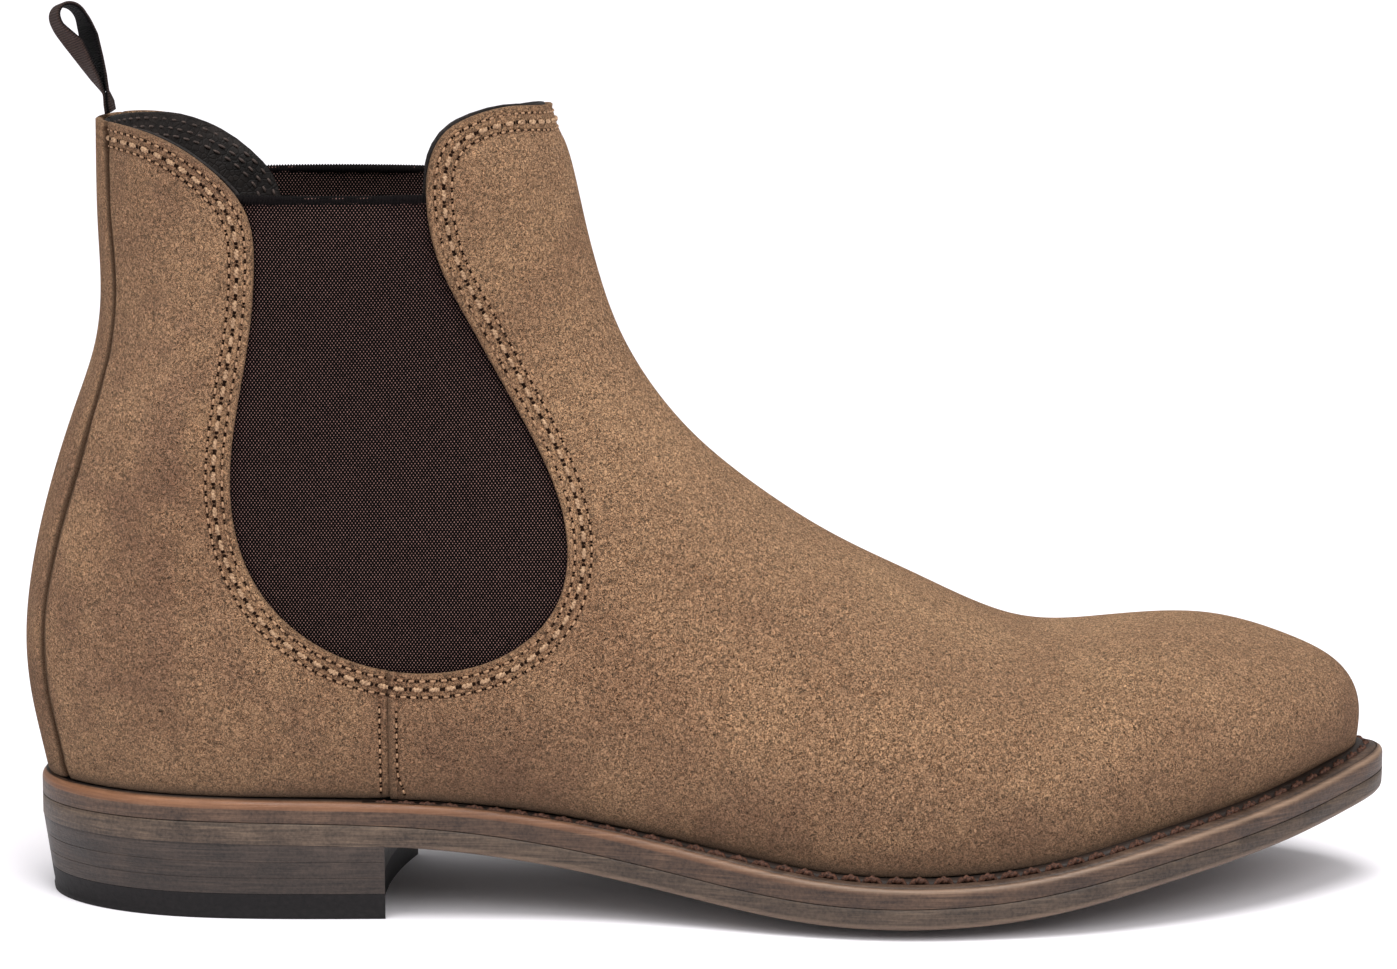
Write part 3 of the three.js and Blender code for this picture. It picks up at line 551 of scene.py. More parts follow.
class Rows:
    """Rows of points along a piece, with the shading facts of each row."""

    def __init__(self):
        self.points, self.facts = [], {}

    def add(self, x, y, z, **facts):
        self.points.append(np.stack(np.broadcast_arrays(x, y, z), -1))
        for key, value in facts.items():
            self.facts.setdefault(key, []).append(np.broadcast_to(value, len(x)))

    def piece(self, name, material, slot, node, axis=1, way=1, sharp=None):
        """The loft through the rows: axis 1 where each row runs along the piece, 0 around it."""
        points, faces = lofted(np.stack(self.points, axis)[::way])
        facts = {key: np.stack(rows, axis)[::way].ravel() for key, rows in self.facts.items()}
        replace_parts(make(name, points, faces, material, "boot", facts, sharp), node)


# ---- materials
def srgb(r, g, b):
    def linear(c):
        c /= 255
        return c / 12.92 if c <= 0.04045 else ((c + 0.055) / 1.055) ** 2.4
    return (linear(r), linear(g), linear(b), 1.0)


class Shader:
    """A node material, with short calls for the nodes used here. Colours are sRGB bytes."""

    def __init__(self, name):
        self.material = bpy.data.materials.new(name)
        self.material.use_nodes = True
        self.tree = self.material.node_tree
        self.tree.nodes.clear()
        self.out = self.tree.nodes.new("ShaderNodeOutputMaterial")
        self.bsdf = self.tree.nodes.new("ShaderNodeBsdfPrincipled")
        self.tree.links.new(self.bsdf.outputs[0], self.out.inputs[0])
        self.coords = self.tree.nodes.new("ShaderNodeTexCoord").outputs["Object"]

    def node(self, kind, **settings):
        made = self.tree.nodes.new(kind)
        for key, value in settings.items():
            setattr(made, key, value)
        return made

    def feed(self, socket, value):
        if isinstance(value, bpy.types.NodeSocket):
            self.tree.links.new(value, socket)
        else:
            socket.default_value = srgb(*value) if isinstance(value, tuple) else value

    def math(self, operation, a, b=0.0, clamp=False):
        made = self.node("ShaderNodeMath", operation=operation, use_clamp=clamp)
        self.feed(made.inputs[0], a)
        self.feed(made.inputs[1], b)
        return made.outputs[0]

    def times(self, a, b, clamp=False):
        return self.math("MULTIPLY", a, b, clamp)

    def plus(self, a, b):
        return self.math("ADD", a, b)

    def minus(self, a, b, clamp=False):
        return self.math("SUBTRACT", a, b, clamp)

    def noise(self, scale, detail=3.0, rough=0.55, distortion=0.0, vector=None):
        made = self.node("ShaderNodeTexNoise")
        self.feed(made.inputs["Vector"], vector or self.coords)
        values = {"Scale": scale, "Detail": detail, "Roughness": rough, "Distortion": distortion}
        for key, value in values.items():
            made.inputs[key].default_value = value
        return made.outputs["Fac"]

    def cell_edges(self, scale):
        made = self.node("ShaderNodeTexVoronoi", feature="DISTANCE_TO_EDGE")
        self.feed(made.inputs["Vector"], self.coords)
        made.inputs["Scale"].default_value = scale
        return made.outputs["Distance"]

    def stretch(self, x, y, z):
        made = self.node("ShaderNodeMapping")
        self.feed(made.inputs["Vector"], self.coords)
        made.inputs["Scale"].default_value = (x, y, z)
        return made.outputs[0]

    def attribute(self, name):
        return self.node("ShaderNodeAttribute", attribute_name=name).outputs["Fac"]

    def ramp(self, value, *stops):
        """A ramp through (place, colour or grey level) stops."""
        made = self.node("ShaderNodeValToRGB")
        elements = made.color_ramp.elements
        while len(elements) < len(stops):
            elements.new(0.5)
        for element, (place, color) in zip(elements, stops):
            element.position = place
            element.color = srgb(*color) if isinstance(color, tuple) else (color, color, color, 1)
        self.feed(made.inputs[0], value)
        return made.outputs[0]

    def mix(self, share, a, b, blend="MIX"):
        made = self.node("ShaderNodeMix", data_type="RGBA", blend_type=blend)
        self.feed(made.inputs["Factor"], share)
        self.feed(made.inputs["A"], a)
        self.feed(made.inputs["B"], b)
        return made.outputs["Result"]

    def tint(self, color, tone):
        return self.mix(1.0, color, tone, "MULTIPLY")

    def band(self, value, centre, half):
        """1 at centre, falling to 0 at half away."""
        away = self.math("ABSOLUTE", self.minus(value, centre))
        return self.minus(1.0, self.math("DIVIDE", away, half), clamp=True)

    def bump(self, height, distance, strength=1.0, after=None):
        made = self.node("ShaderNodeBump")
        made.inputs["Distance"].default_value = distance
        made.inputs["Strength"].default_value = strength
        self.feed(made.inputs["Height"], height)
        if after is not None:
            self.feed(made.inputs["Normal"], after)
        return made.outputs[0]

    def finish(self, color, rough, normal=None, **fixed):
        self.feed(self.bsdf.inputs["Base Color"], color)
        self.feed(self.bsdf.inputs["Roughness"], rough)
        if normal is not None:
            self.feed(self.bsdf.inputs["Normal"], normal)
        for key, value in fixed.items():
            self.feed(self.bsdf.inputs[key.replace("_", " ")], value)
        return self.material


ROWS = (1.6, 3.5, 5.2)
ELASTIC_CELL = (0.00074, 0.00102)


def suede_material():
    m = Shader("suede")
    grain = m.noise(2000, 3, 0.6, 1.5)
    nap = m.noise(640, 3, 0.6, 1.2)
    cloud = m.noise(20, 3, 0.6, 0.8)
    base = m.ramp(grain, (0.42, (30, 17, 11)), (0.5, (144, 103, 73)), (0.57, (240, 192, 149)))
    curl = m.math("ABSOLUTE", m.minus(m.noise(1150, 3, 0.62, 2.2), 0.5))
    hair = m.ramp(curl, (0.0, 0.55), (0.035, 0.25), (0.09, 0.0))
    base = m.mix(hair, base, (206, 172, 140))
    color = m.tint(base, m.ramp(nap, (0.35, (226, 222, 218)), (0.65, (255, 254, 252))))
    color = m.tint(color, m.ramp(cloud, (0.38, (226, 220, 220)), (0.62, (255, 254, 252))))
    # Greyer patches, towards the back and the foot of the upper.
    patch = m.times(m.attribute("grey_patch_zone"), m.ramp(m.noise(34, 3, 0.6, 1.0), (0.4, 0.0), (0.62, 1.0)))
    color = m.mix(m.times(patch, 0.85), color, m.tint(color, (210, 204, 212)))
    edge = m.attribute("edge")
    rows = m.band(edge, ROWS[0], 0.5)
    for row, half in ((ROWS[1], 0.8), (ROWS[2], 0.5)):
        rows = m.math("MAXIMUM", rows, m.band(edge, row, half))
    seam = m.attribute("seam")
    rows = m.math("MAXIMUM", rows, m.times(m.band(seam, 1.9, 0.5), 0.8))
    color = m.mix(m.times(rows, 0.4), color, (84, 60, 46))
    # Darker along the leather's edge, and painted shade in the crease of the side seam.
    cut = m.math("MAXIMUM", m.times(m.band(edge, 0.0, 0.7), 0.3), m.band(seam, 0.0, 0.9))
    color = m.mix(m.times(cut, 0.75), color, (84, 60, 46))
    # Painted shade: the suede gets darker towards the foot of the upper, darkest in the crease just above the
    # welt.
    low_shade = m.ramp(m.attribute("rise"), (0.0, 1.0), (0.012, 0.8), (0.04, 0.4), (0.14, 0.2), (0.5, 0.0))
    color = m.mix(low_shade, color, (84, 66, 56))
    # Painted shade in the groove beside the back strip.
    line = m.times(m.band(m.attribute("groove"), 0.5, 1.3), 1.8, clamp=True)
    color = m.mix(line, color, m.mix(grain, (36, 22, 15), (92, 64, 48)))
    color = m.mix(m.times(m.attribute("rim"), 0.4), color, (104, 78, 60))
    fur = m.plus(m.plus(m.times(nap, 0.6), grain), m.times(hair, 0.5))
    normal = m.bump(fur, 0.0008, 1.0)
    normal = m.bump(m.minus(1.0, rows), 0.0005, 0.8, normal)
    return m.finish(color, 0.95, normal, Sheen_Weight=0.4, Sheen_Roughness=0.36,
                    Sheen_Tint=(232, 194, 156), Specular_IOR_Level=0.1)


def elastic_material():
    """Woven elastic: light dots of the covered rubber, staggered from row to row."""
    m = Shader("elastic")
    turn_x, turn_z = (2 * math.pi / cell for cell in ELASTIC_CELL)
    split = m.node("ShaderNodeSeparateXYZ")
    m.feed(split.inputs[0], m.coords)
    wobble = m.times(m.noise(500, 2, 0.5), 0.00012)
    across = m.math("SINE", m.times(m.plus(split.outputs[0], wobble), turn_x))
    up = m.math("SINE", m.times(m.plus(split.outputs[2], wobble), turn_z))
    dots = m.times(across, up)
    height = m.plus(m.times(dots, 0.5), 0.5)
    fuzz = m.noise(3000, 3, 0.6)
    uneven = m.plus(height, m.times(m.minus(fuzz, 0.5), 0.5))
    color = m.ramp(uneven, (0.55, (3, 2, 2)), (0.74, (18, 12, 11)), (0.96, (142, 108, 101)))
    normal = m.bump(m.plus(height, m.times(fuzz, 0.3)), 0.0003, 0.9)
    return m.finish(color, 0.95, normal, Specular_IOR_Level=0.08)


def leather_material(name, dark, middle, light, scale=900, rough=(0.45, 0.65), depth=0.0002, specular=0.4):
    m = Shader(name)
    cells = m.cell_edges(scale)
    creases = m.ramp(cells, (0.0, 0.0), (0.14, 1.0))
    cloud = m.noise(120, 4, 0.6, 0.3)
    color = m.ramp(cloud, (0.3, dark), (0.5, middle), (0.7, light))
    color = m.mix(0.4, color, m.tint(color, creases))
    finish = m.ramp(m.noise(300, 3), (0.3, rough[0]), (0.7, rough[1]))
    normal = m.bump(m.plus(creases, m.noise(2200, 3)), depth, 0.7)
    return m.finish(color, finish, normal, Specular_IOR_Level=specular)


def edge_material(name, dark, middle, light):
    """A sanded and stained leather edge: thin horizontal fibre lines and blotches."""
    m = Shader(name)
    lines = m.noise(1.0, 4, 0.65, 0.4, m.stretch(70, 70, 2000))
    blotch = m.noise(90, 4, 0.62, 0.5)
    fine = m.noise(1400, 3, 0.6)
    color = m.ramp(lines, (0.3, dark), (0.5, middle), (0.72, light))
    color = m.tint(color, m.ramp(blotch, (0.32, (150, 140, 134)), (0.62, (255, 252, 248))))
    color = m.mix(0.25, color, m.ramp(fine, (0.35, dark), (0.65, light)))
    color = m.mix(m.attribute("glow"), color, m.mix(lines, (92, 56, 36), (170, 116, 78)))
    # Painted highlight along the welt's top corner, and a lighter strip on the outsole's lower bevel.
    color = m.mix(m.attribute("pale"), color, m.mix(lines, (118, 92, 74), (190, 160, 134)))
    color = m.mix(m.attribute("shadow"), color, (26, 18, 15))
    finish = m.ramp(blotch, (0.3, 0.42), (0.7, 0.62))
    normal = m.bump(m.plus(lines, m.times(fine, 0.5)), 0.00025, 0.6)
    return m.finish(color, finish, normal, Specular_IOR_Level=0.4)


def thread_material(name, dark, light, specular=0.25):
    m = Shader(name)
    fibre = m.noise(2200, 3, 0.6, 0.5)
    color = m.ramp(fibre, (0.3, dark), (0.7, light))
    return m.finish(color, 0.7, m.bump(fibre, 0.0001, 0.7), Specular_IOR_Level=specular)


def ribbon_material():
    m = Shader("ribbon")
    rib = m.math("PINGPONG", m.math("DIVIDE", m.attribute("down"), 0.55), 0.5)
    cord = m.math("PINGPONG", m.math("DIVIDE", m.attribute("across"), 0.5), 0.5)
    height = m.plus(m.times(rib, 1.4), m.times(cord, 0.6))
    fuzz = m.noise(2400, 3, 0.6)
    color = m.ramp(height, (0.1, (18, 13, 12)), (0.5, (48, 36, 33)), (0.95, (82, 64, 58)))
    color = m.mix(0.4, color, m.ramp(fuzz, (0.3, (24, 17, 16)), (0.7, (78, 62, 57))))
    # Painted shade: the ribbon's inner face is mixed to near black.
    color = m.mix(m.attribute("inside"), color, (10, 7, 8))
    normal = m.bump(m.plus(height, m.times(fuzz, 0.3)), 0.00025, 0.9)
    return m.finish(color, 0.8, normal, Specular_IOR_Level=0.12)


def plain_material(name, color, light, rough, metallic=0.0, scale=500, specular=0.4):
    m = Shader(name)
    grain = m.noise(scale, 4, 0.6)
    shade = m.ramp(grain, (0.3, color), (0.7, light))
    return m.finish(shade, rough, m.bump(grain, 0.0002, 0.5), Metallic=metallic, Specular_IOR_Level=specular)


SUEDE = suede_material()
ELASTIC = elastic_material()
LINING = leather_material("lining", (18, 15, 14), (34, 29, 27), (50, 43, 40), 700, (0.5, 0.65), 0.0001, 0.2)
SOCK = leather_material("sock", (42, 35, 32), (58, 49, 45), (74, 64, 58), 800)
WELT = edge_material("welt", (41, 29, 24), (82, 62, 49), (114, 90, 73))
OUTSOLE = edge_material("outsole_edge", (40, 32, 26), (84, 69, 58), (118, 100, 84))
STACK = edge_material("stack", (28, 23, 20), (60, 50, 45), (86, 73, 65))
RUBBER = plain_material("rubber", (9, 7, 8), (24, 20, 21), 0.6, scale=900, specular=0.25)
THREAD_DARK = thread_material("thread_dark", (8, 4, 3), (98, 64, 49))
THREAD_TAN = thread_material("thread_tan", (96, 69, 50), (204, 168, 133))
THREAD_BROWN = thread_material("thread_brown", (112, 82, 60), (188, 150, 116))
THREAD_LINING = thread_material("thread_lining", (44, 36, 34), (92, 78, 72))
# Near-black discs at the stitch ends: painted shade in the needle holes.
HOLE_SHADE = plain_material("needle_hole_shade", (20, 12, 8), (36, 23, 16), 0.95, specular=0.02)
SELVEDGE = thread_material("selvedge", (3, 2, 3), (20, 16, 16), specular=0.06)
RIBBON = ribbon_material()

CAD_LOOKS = {
    plain_material("board", (158, 124, 88), (188, 152, 112), 0.85): ("insole_board",),
    plain_material("cork_grain", (120, 86, 54), (186, 148, 104), 0.9, scale=260): ("cork_filler",),
    plain_material("stiffener_cloth", (196, 184, 164), (222, 212, 194), 0.9): ("heel_counter", "toe_puff"),
    plain_material("spring_steel", (120, 124, 128), (154, 158, 162), 0.36, 1.0): ("shank",),
    plain_material("brass", (160, 132, 62), (196, 170, 92), 0.34, 1.0): tuple(
        "heel_nail_%d" % k for k in range(1, 6)
    ),
}
for look, names in CAD_LOOKS.items():
    for name in names:
        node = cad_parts[name]
        node.data.materials.clear()
        node.data.materials.append(look)

# ---- the upper
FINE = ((360, 76))
MIDDLING = (240, 50)
COARSE = (150, 34)
grid = face_grid(*FINE)
grid_edge = edge_distance(grid.params)
EDGE_ROOM = 0.25
STRIP_ROOM = 0.12
SEAM_TOP = 60
STRIP_FRONT = -110
AWAY = 99


def smooth_share(value, low, high):
    share = np.clip((value - low) / (high - low), 0, 1)
    return share * share * (3 - 2 * share)


def suede_facts(patch):
    """The points of a patch, and what each one's colour and height depend on."""
    p = patch.points()
    edge = edge_distance(patch.params)
    seam = np.where(p[:, 2] < SEAM_TOP, np.abs(p[:, 0] - SEAM_X), AWAY)
    foot = np.where(patch.params[:, 0] < HEEL_STATION, seat_top(p[:, 0]) + GAP, HEEL_FOOT[1])
    rise = np.clip((p[:, 2] - foot) / 60, 0, 1)
    groove = np.where(p[:, 0] < STRIP_FRONT, np.abs(p[:, 1]) - strip_half(p[:, 2]), AWAY)
    grey_patch_zone = np.maximum(smooth_share(-p[:, 0], 40, 90), 1 - smooth_share(rise, 0.1, 0.5))
    return p, {"edge": edge, "seam": seam, "rise": rise, "groove": groove, "grey_patch_zone": grey_patch_zone}


def suede_height(p, facts, front):
    sunk = -0.35 * (1 - smooth_share(facts["edge"], 4.5, 9)) * smooth_share(facts["edge"], 0, 0.8)
    lap = np.where(front, 0.4, -0.4) * (1 - smooth_share(facts["seam"], 0.5, 5))
    wave = 0.22 * np.sin(p[:, 0] / 9 + 1.3) * np.sin(p[:, 2] / 11 + p[:, 1] / 17)
    dip = -0.75 * (1 - smooth_share(facts["groove"], 0.3, 1.6))
    dip = dip - 0.35 * (1 - smooth_share(facts["seam"], 0.2, 1.3))
    return sunk + lap + dip + wave * smooth_share(facts["edge"], 2, 12)


def suede_piece(name, patch, node, front):
    p, facts = suede_facts(patch)
    piece = shell(name, patch, 0, UPPER_T, SUEDE, suede_height(p, facts, front), 0.35, facts)
    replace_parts(piece, node)


leather = grid.clipped(lambda params: edge_distance(params) - EDGE_ROOM)
rear = leather.clipped(seam_field(-1, 0.15))
quarters = rear.clipped(strip_field(-1, STRIP_ROOM))
strip = rear.clipped(strip_field(1, STRIP_ROOM))
suede_piece("suede_vamp", leather.clipped(seam_field(1, 0.1)), "vamp", True)
suede_piece("suede_quarter_lateral", quarters.clipped(side_field(-1)), "quarter_lateral", False)
suede_piece("suede_quarter_medial", quarters.clipped(side_field(1)), "quarter_medial", False)
p, facts = suede_facts(strip)
# the strip is raised over its width, and dips towards its two folded edges
lift = 0.5 * smooth_share(strip_half(p[:, 2]) - np.abs(p[:, 1]), 0, 1.6) - 0.15
piece = shell("suede_back_strip", strip, 0, UPPER_T - 0.2, SUEDE, lift, 0.3, facts)
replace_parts(piece, "back_strip")

# ---- lining and elastic
coarse = face_grid(*COARSE)


def lining_field(params):
    """The lining's edge stands a little above the suede, except at the back, under the loop."""
    p = face_point(*params.T)
    front, back = smooth_share(p[:, 0], -70, -62), smooth_share(-p[:, 0], 122, 129)
    return edge_distance(params) - 0.4 + (0.3 + 0.45 * front - 0.45 * back) * smooth_share(p[:, 2], 163, 168)


lining = coarse.clipped(lining_field)


def lining_depth(edge, height):
    near = (1 - smooth_share(edge, 0.5, 9)) * smooth_share(height, 161, 168)
    return LINING_DEPTH - (LINING_DEPTH - UPPER_T - 0.15) * near


def lining_piece(name, patch, node):
    depth = lining_depth(edge_distance(patch.params), face_z(patch.params))
    piece = shell(name, patch, depth, LINING_T, LINING, rim=0.3)
    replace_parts(piece, node)


lining_piece("leather_lining_front", lining.clipped(seam_field(1, 0.15)), "lining_vamp")
lining_piece("leather_lining_back", lining.clipped(seam_field(-1, 0.15)), "lining_quarters")


def elastic_piece(side, node):
    panel = middling.clipped(lambda params: ELASTIC_TOP - face_z(params))
    panel = panel.clipped(lambda params: ELASTIC_LAP - edge_distance(params))
    panel = panel.clipped(side_field(side, 0.02))
    panel = panel.clipped(lambda params: face_x(params) - ELASTIC_BACK)
    depth = MIDDLE_DEPTH - 0.5 * smooth_share(-edge_distance(panel.params), 2, 14)
    piece = shell("elastic_" + node, panel, depth, ELASTIC_T, ELASTIC, rim=0.2)
    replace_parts(piece, "gusset_" + node)


middling = face_grid(*MIDDLING)
elastic_piece(-1, "lateral")
elastic_piece(1, "medial")


# ---- lines on the face
LINE_LEAST = 12


def level_lines(values, level):
    """Lines of (s, t) where values on the grid pass level, longest first."""
    above = values > level
    joined = {}
    for face in grid.faces:
        flags = above[face]
        if flags.all() or not flags.any():
            continue
        keys = [link(a, b) for a, b in zip(face, face[1:] + face[:1]) if above[a] != above[b]]
        if len(keys) == 2:
            joined.setdefault(keys[0], []).append(keys[1])
            joined.setdefault(keys[1], []).append(keys[0])
    lines, seen = [], set()
    starts = [key for key in joined if len(joined[key]) == 1] + list(joined)
    for start in starts:
        if start in seen:
            continue
        line, here = [start], start
        seen.add(start)
        while ahead := [key for key in joined[here] if key not in seen]:
            here = ahead[0]
            seen.add(here)
            line.append(here)
        if len(line) >= LINE_LEAST:
            a, b = np.array(line).T
            share = (level - values[a]) / (values[b] - values[a])
            lines.append(grid.params[a] + (grid.params[b] - grid.params[a]) * share[:, None])
    return sorted(lines, key=len, reverse=True)


class Path:
    """A line on the face with its running length, points and normals."""

    def __init__(self, points, normals):
        keep = np.concatenate([[True], np.linalg.norm(np.diff(points, axis=0), axis=1) > 0.02])
        self.points, self.normals = points[keep], normals[keep]
        step = np.linalg.norm(np.diff(self.points, axis=0), axis=1)
        self.run = np.concatenate([[0], np.cumsum(step)])
        self.length = self.run[-1]

    def at(self, where):
        pick = lambda data: np.stack([np.interp(where, self.run, data[:, k]) for k in range(3)], -1)
        point, normal = pick(self.points), pick(self.normals)
        return point, normal / np.linalg.norm(normal, axis=-1, keepdims=True)


def face_path(line, depth):
    point, normal = face_point(*line.T), face_normal(*line.T)
    smooth = point.copy()
    for _ in range(3):
        smooth[1:-1] = (smooth[:-2] + 2 * smooth[1:-1] + smooth[2:]) / 4
    return Path(smooth - normal * depth, normal)


def suede_path(line):
    """A path on the suede's real surface, with its laps and dents."""
    p, facts = suede_facts(Patch(line, []))
    return face_path(line, -suede_height(p, facts, p[:, 0] > SEAM_X)[:, None])


def tube(path, places, lifts, radii, around, turns=0.0, lobes=0.0):
    """Rings of a thread at places along a path, lifted and thickened."""
    point, normal = path.at(places)
    ahead, _ = path.at(np.minimum(places + 0.05, path.length))
    behind, _ = path.at(np.maximum(places - 0.05, 0))
    forward = ahead - behind
    forward /= np.linalg.norm(forward, axis=1, keepdims=True)
    across = np.cross(forward, normal)
    up = np.cross(across, forward)
    angles = np.linspace(0, 2 * math.pi, around, endpoint=False)
    twist = 2 * math.pi * turns * np.linspace(0, 1, len(places))[:, None]
    radius = radii[:, None] * (1 + lobes * np.cos(2 * (angles - twist)))
    centre = point + normal * lifts[:, None]
    sideways = across[:, None] * (radius * np.cos(angles))[..., None]
    return centre[:, None] + sideways + up[:, None] * (radius * np.sin(angles))[..., None]


class Collector:
    """Gathers many small closed meshes into one piece."""

    def __init__(self):
        self.points, self.faces, self.count = [], [], 0

    def add(self, rings):
        points, faces = lofted(rings)
        self.points.append(points)
        self.faces += [[v + self.count for v in face] for face in faces]
        self.count += len(points)

    def piece(self, name, material, slot):
        return make(name, np.vstack(self.points), self.faces, material, "boot")


def disc(path, where, radius):
    """Rings of a low round dent mark on the face."""
    point, normal = path.at(np.array([where]))
    ahead, _ = path.at(np.array([where + 0.1]))
    forward = (ahead - point)[0]
    forward /= max(np.linalg.norm(forward), 1e-9)
    across = np.cross(forward, normal[0])
    angles = np.linspace(0, 2 * math.pi, 9, endpoint=False)
    around = np.cos(angles)[:, None] * forward - np.sin(angles)[:, None] * across
    return [
        point[0] + normal[0] * height + around * radius * share
        for share, height in ((0.5, -0.25), (1, -0.05), (0.95, 0.06), (0.3, 0.1))
    ]


THICK_ROW = dict(pitch=3.8, length=2.9, radius=0.5, steps=15, around=10, turns=1.7, lobes=0.3, hole=0.45)
FINE_ROW = dict(pitch=2.4, length=1.7, radius=0.28, hole=0.33)
SEAM_ROW = dict(pitch=2.3, length=1.5, radius=0.25, hole=0.34)
LINING_ROW = dict(pitch=2.8, length=2.0, radius=0.34)
WELT_ROW = dict(pitch=5.0, length=4.7, radius=0.72, start=0.6, steps=17, around=10, turns=1.6, lobes=0.26)
# The lining's rows show only above this height.
LINING_ROW_FOOT = 152
# Rows beside the side seam: how far in front of it, and how far the row curls forwards at its foot.
SEAM_ROW_PLACES = ((-2.1, 0), (1.7, 1.5))


def stitch_row(path, into, pitch, length, radius, hole=None, start=1.0, steps=9, around=7, turns=0.0,
               lobes=0.0, arch=1.0, skip=None):
    """Separate stitches along a path. Each one dives into the leather at both ends."""
    count = int((path.length - 2 * start) / pitch)
    spread = np.linspace(0, 1, steps)
    bow = np.sin(math.pi * spread) ** 0.6
    wobble = rng.uniform(-1, 1, (count, 2))
    for k in range(count):
        middle = start + (k + 0.5) * pitch + 0.06 * pitch * wobble[k, 0]
        place = path.at(middle)[0]
        if skip and skip(*place):
            continue
        proud = arch(place[0]) if callable(arch) else arch
        places = middle + (spread - 0.5) * length
        radii = radius * (0.45 + 0.55 * bow) * (1 + 0.06 * wobble[k, 1])
        lifts = -radius * 1.1 + (radius * 1.35 * proud) * bow
        into.add(tube(path, places, lifts, radii, around, turns, lobes))
        if hole:
            for end in (places[0], places[-1]):
                holes.add(disc(path, end, hole))


rng = np.random.default_rng(11)
tan, brown, holes, inner_rows = Collector(), Collector(), Collector(), Collector()
row_lines = [level_lines(grid_edge, row)[0] for row in ROWS]
for line, into, style in zip(row_lines, (brown, tan, brown), (FINE_ROW, THICK_ROW, FINE_ROW)):
    stitch_row(suede_path(line), into, **style)

grid_points = grid.points()
for shift, curl in SEAM_ROW_PLACES:
    foot_curl = curl * (1 - smooth_share(grid_points[:, 2], 27, 34))
    for line in level_lines(grid_points[:, 0] - foot_curl, SEAM_X + shift):
        p = face_point(*line.T)
        low = (p[:, 2] < 50) & (np.abs(p[:, 1]) > 5)
        if low.sum() > 8:
            stitch_row(suede_path(line[low]), brown, **SEAM_ROW)

for row, line in zip(ROWS, row_lines):
    depth = lining_depth(np.full(len(line), row), face_z(line)) + LINING_T
    normal = face_normal(*line.T)
    path = Path(face_point(*line.T) - normal * depth[:, None], -normal)
    stitch_row(path, inner_rows, **LINING_ROW, skip=lambda x, y, z: z < LINING_ROW_FOOT)
inner_rows.piece("stitches_lining", THREAD_LINING, "thread")
tan.piece("stitches_topline", THREAD_TAN, "thread")
brown.piece("stitches_fine", THREAD_BROWN, "thread")
holes.piece("needle_holes", HOLE_SHADE, "thread")


# ---- edge of the elastic
SELVEDGE_PITCH = 0.65
SELVEDGE_RADIUS = 1.02


def selvedge(side, name):
    for line in level_lines(grid_points[:, 2], ELASTIC_TOP - 0.6):
        inside = (line[:, 1] * side > 0.02) & (edge_distance(line) < 1.5) & (face_x(line) < -45)
        if inside.sum() > 10:
            break
    path = face_path(line[inside], MIDDLE_DEPTH + 0.25)
    steps = 700
    places = np.linspace(0, path.length, steps)
    twists = path.length / (2 * SELVEDGE_PITCH)
    radii = np.full(steps, SELVEDGE_RADIUS)
    points, faces = lofted(tube(path, places, np.zeros(steps), radii, 12, twists, 0.13))
    make(name, points, faces, SELVEDGE, "boot")


selvedge(-1, "elastic_selvedge_lateral")
selvedge(1, "elastic_selvedge_medial")


# ---- welt, rand and their stitches
def strip_path(ends, steps):
    """(side, reach) pairs from one end of a strip round to the other."""
    (side0, reach0), turn, (side1, reach1) = ends
    first = np.linspace(reach0, turn, steps)
    second = np.linspace(turn, reach1, steps)[1:]
    sides = np.concatenate([np.full(steps, side0), np.full(steps - 1, side1)])
    return sides, np.concatenate([first, second])


# By x: the size of the edge's rounded corner, how orange it is, and how strong the painted highlight along
# its top corner is.
EDGE_BEVEL = [(-151, 1.8), (-70, 1.7), (0, 1.5), (60, 1.3), (153, 1.3)]
EDGE_GLOW = [(-151, 0.7), (-60, 0.65), (-10, 0.45), (40, 0.08), (153, 0.05)]
EDGE_HIGHLIGHT = [(-30, 0), (30, 0.5), (153, 0.6)]
FORE_DARKENING = 0.12
# Across the channel that the welt's stitches lie in: place, depth and shade.
STITCH_CHANNEL = [
    (-1.1, 0, 0.3), (-0.7, 0.2, 0.75), (-0.2, 0.42, 0.95), (0.2, 0.42, 0.95), (0.7, 0.2, 0.9), (1.1, 0, 0.85),
]
STITCH_ARCH = [(-70, 0.4), (-25, 0.75), (35, 1.4)]


def fore_darkening(x):
    """The edges are darker in front of the heel's breast."""
    return FORE_DARKENING * smooth_share(x, -75, -45)


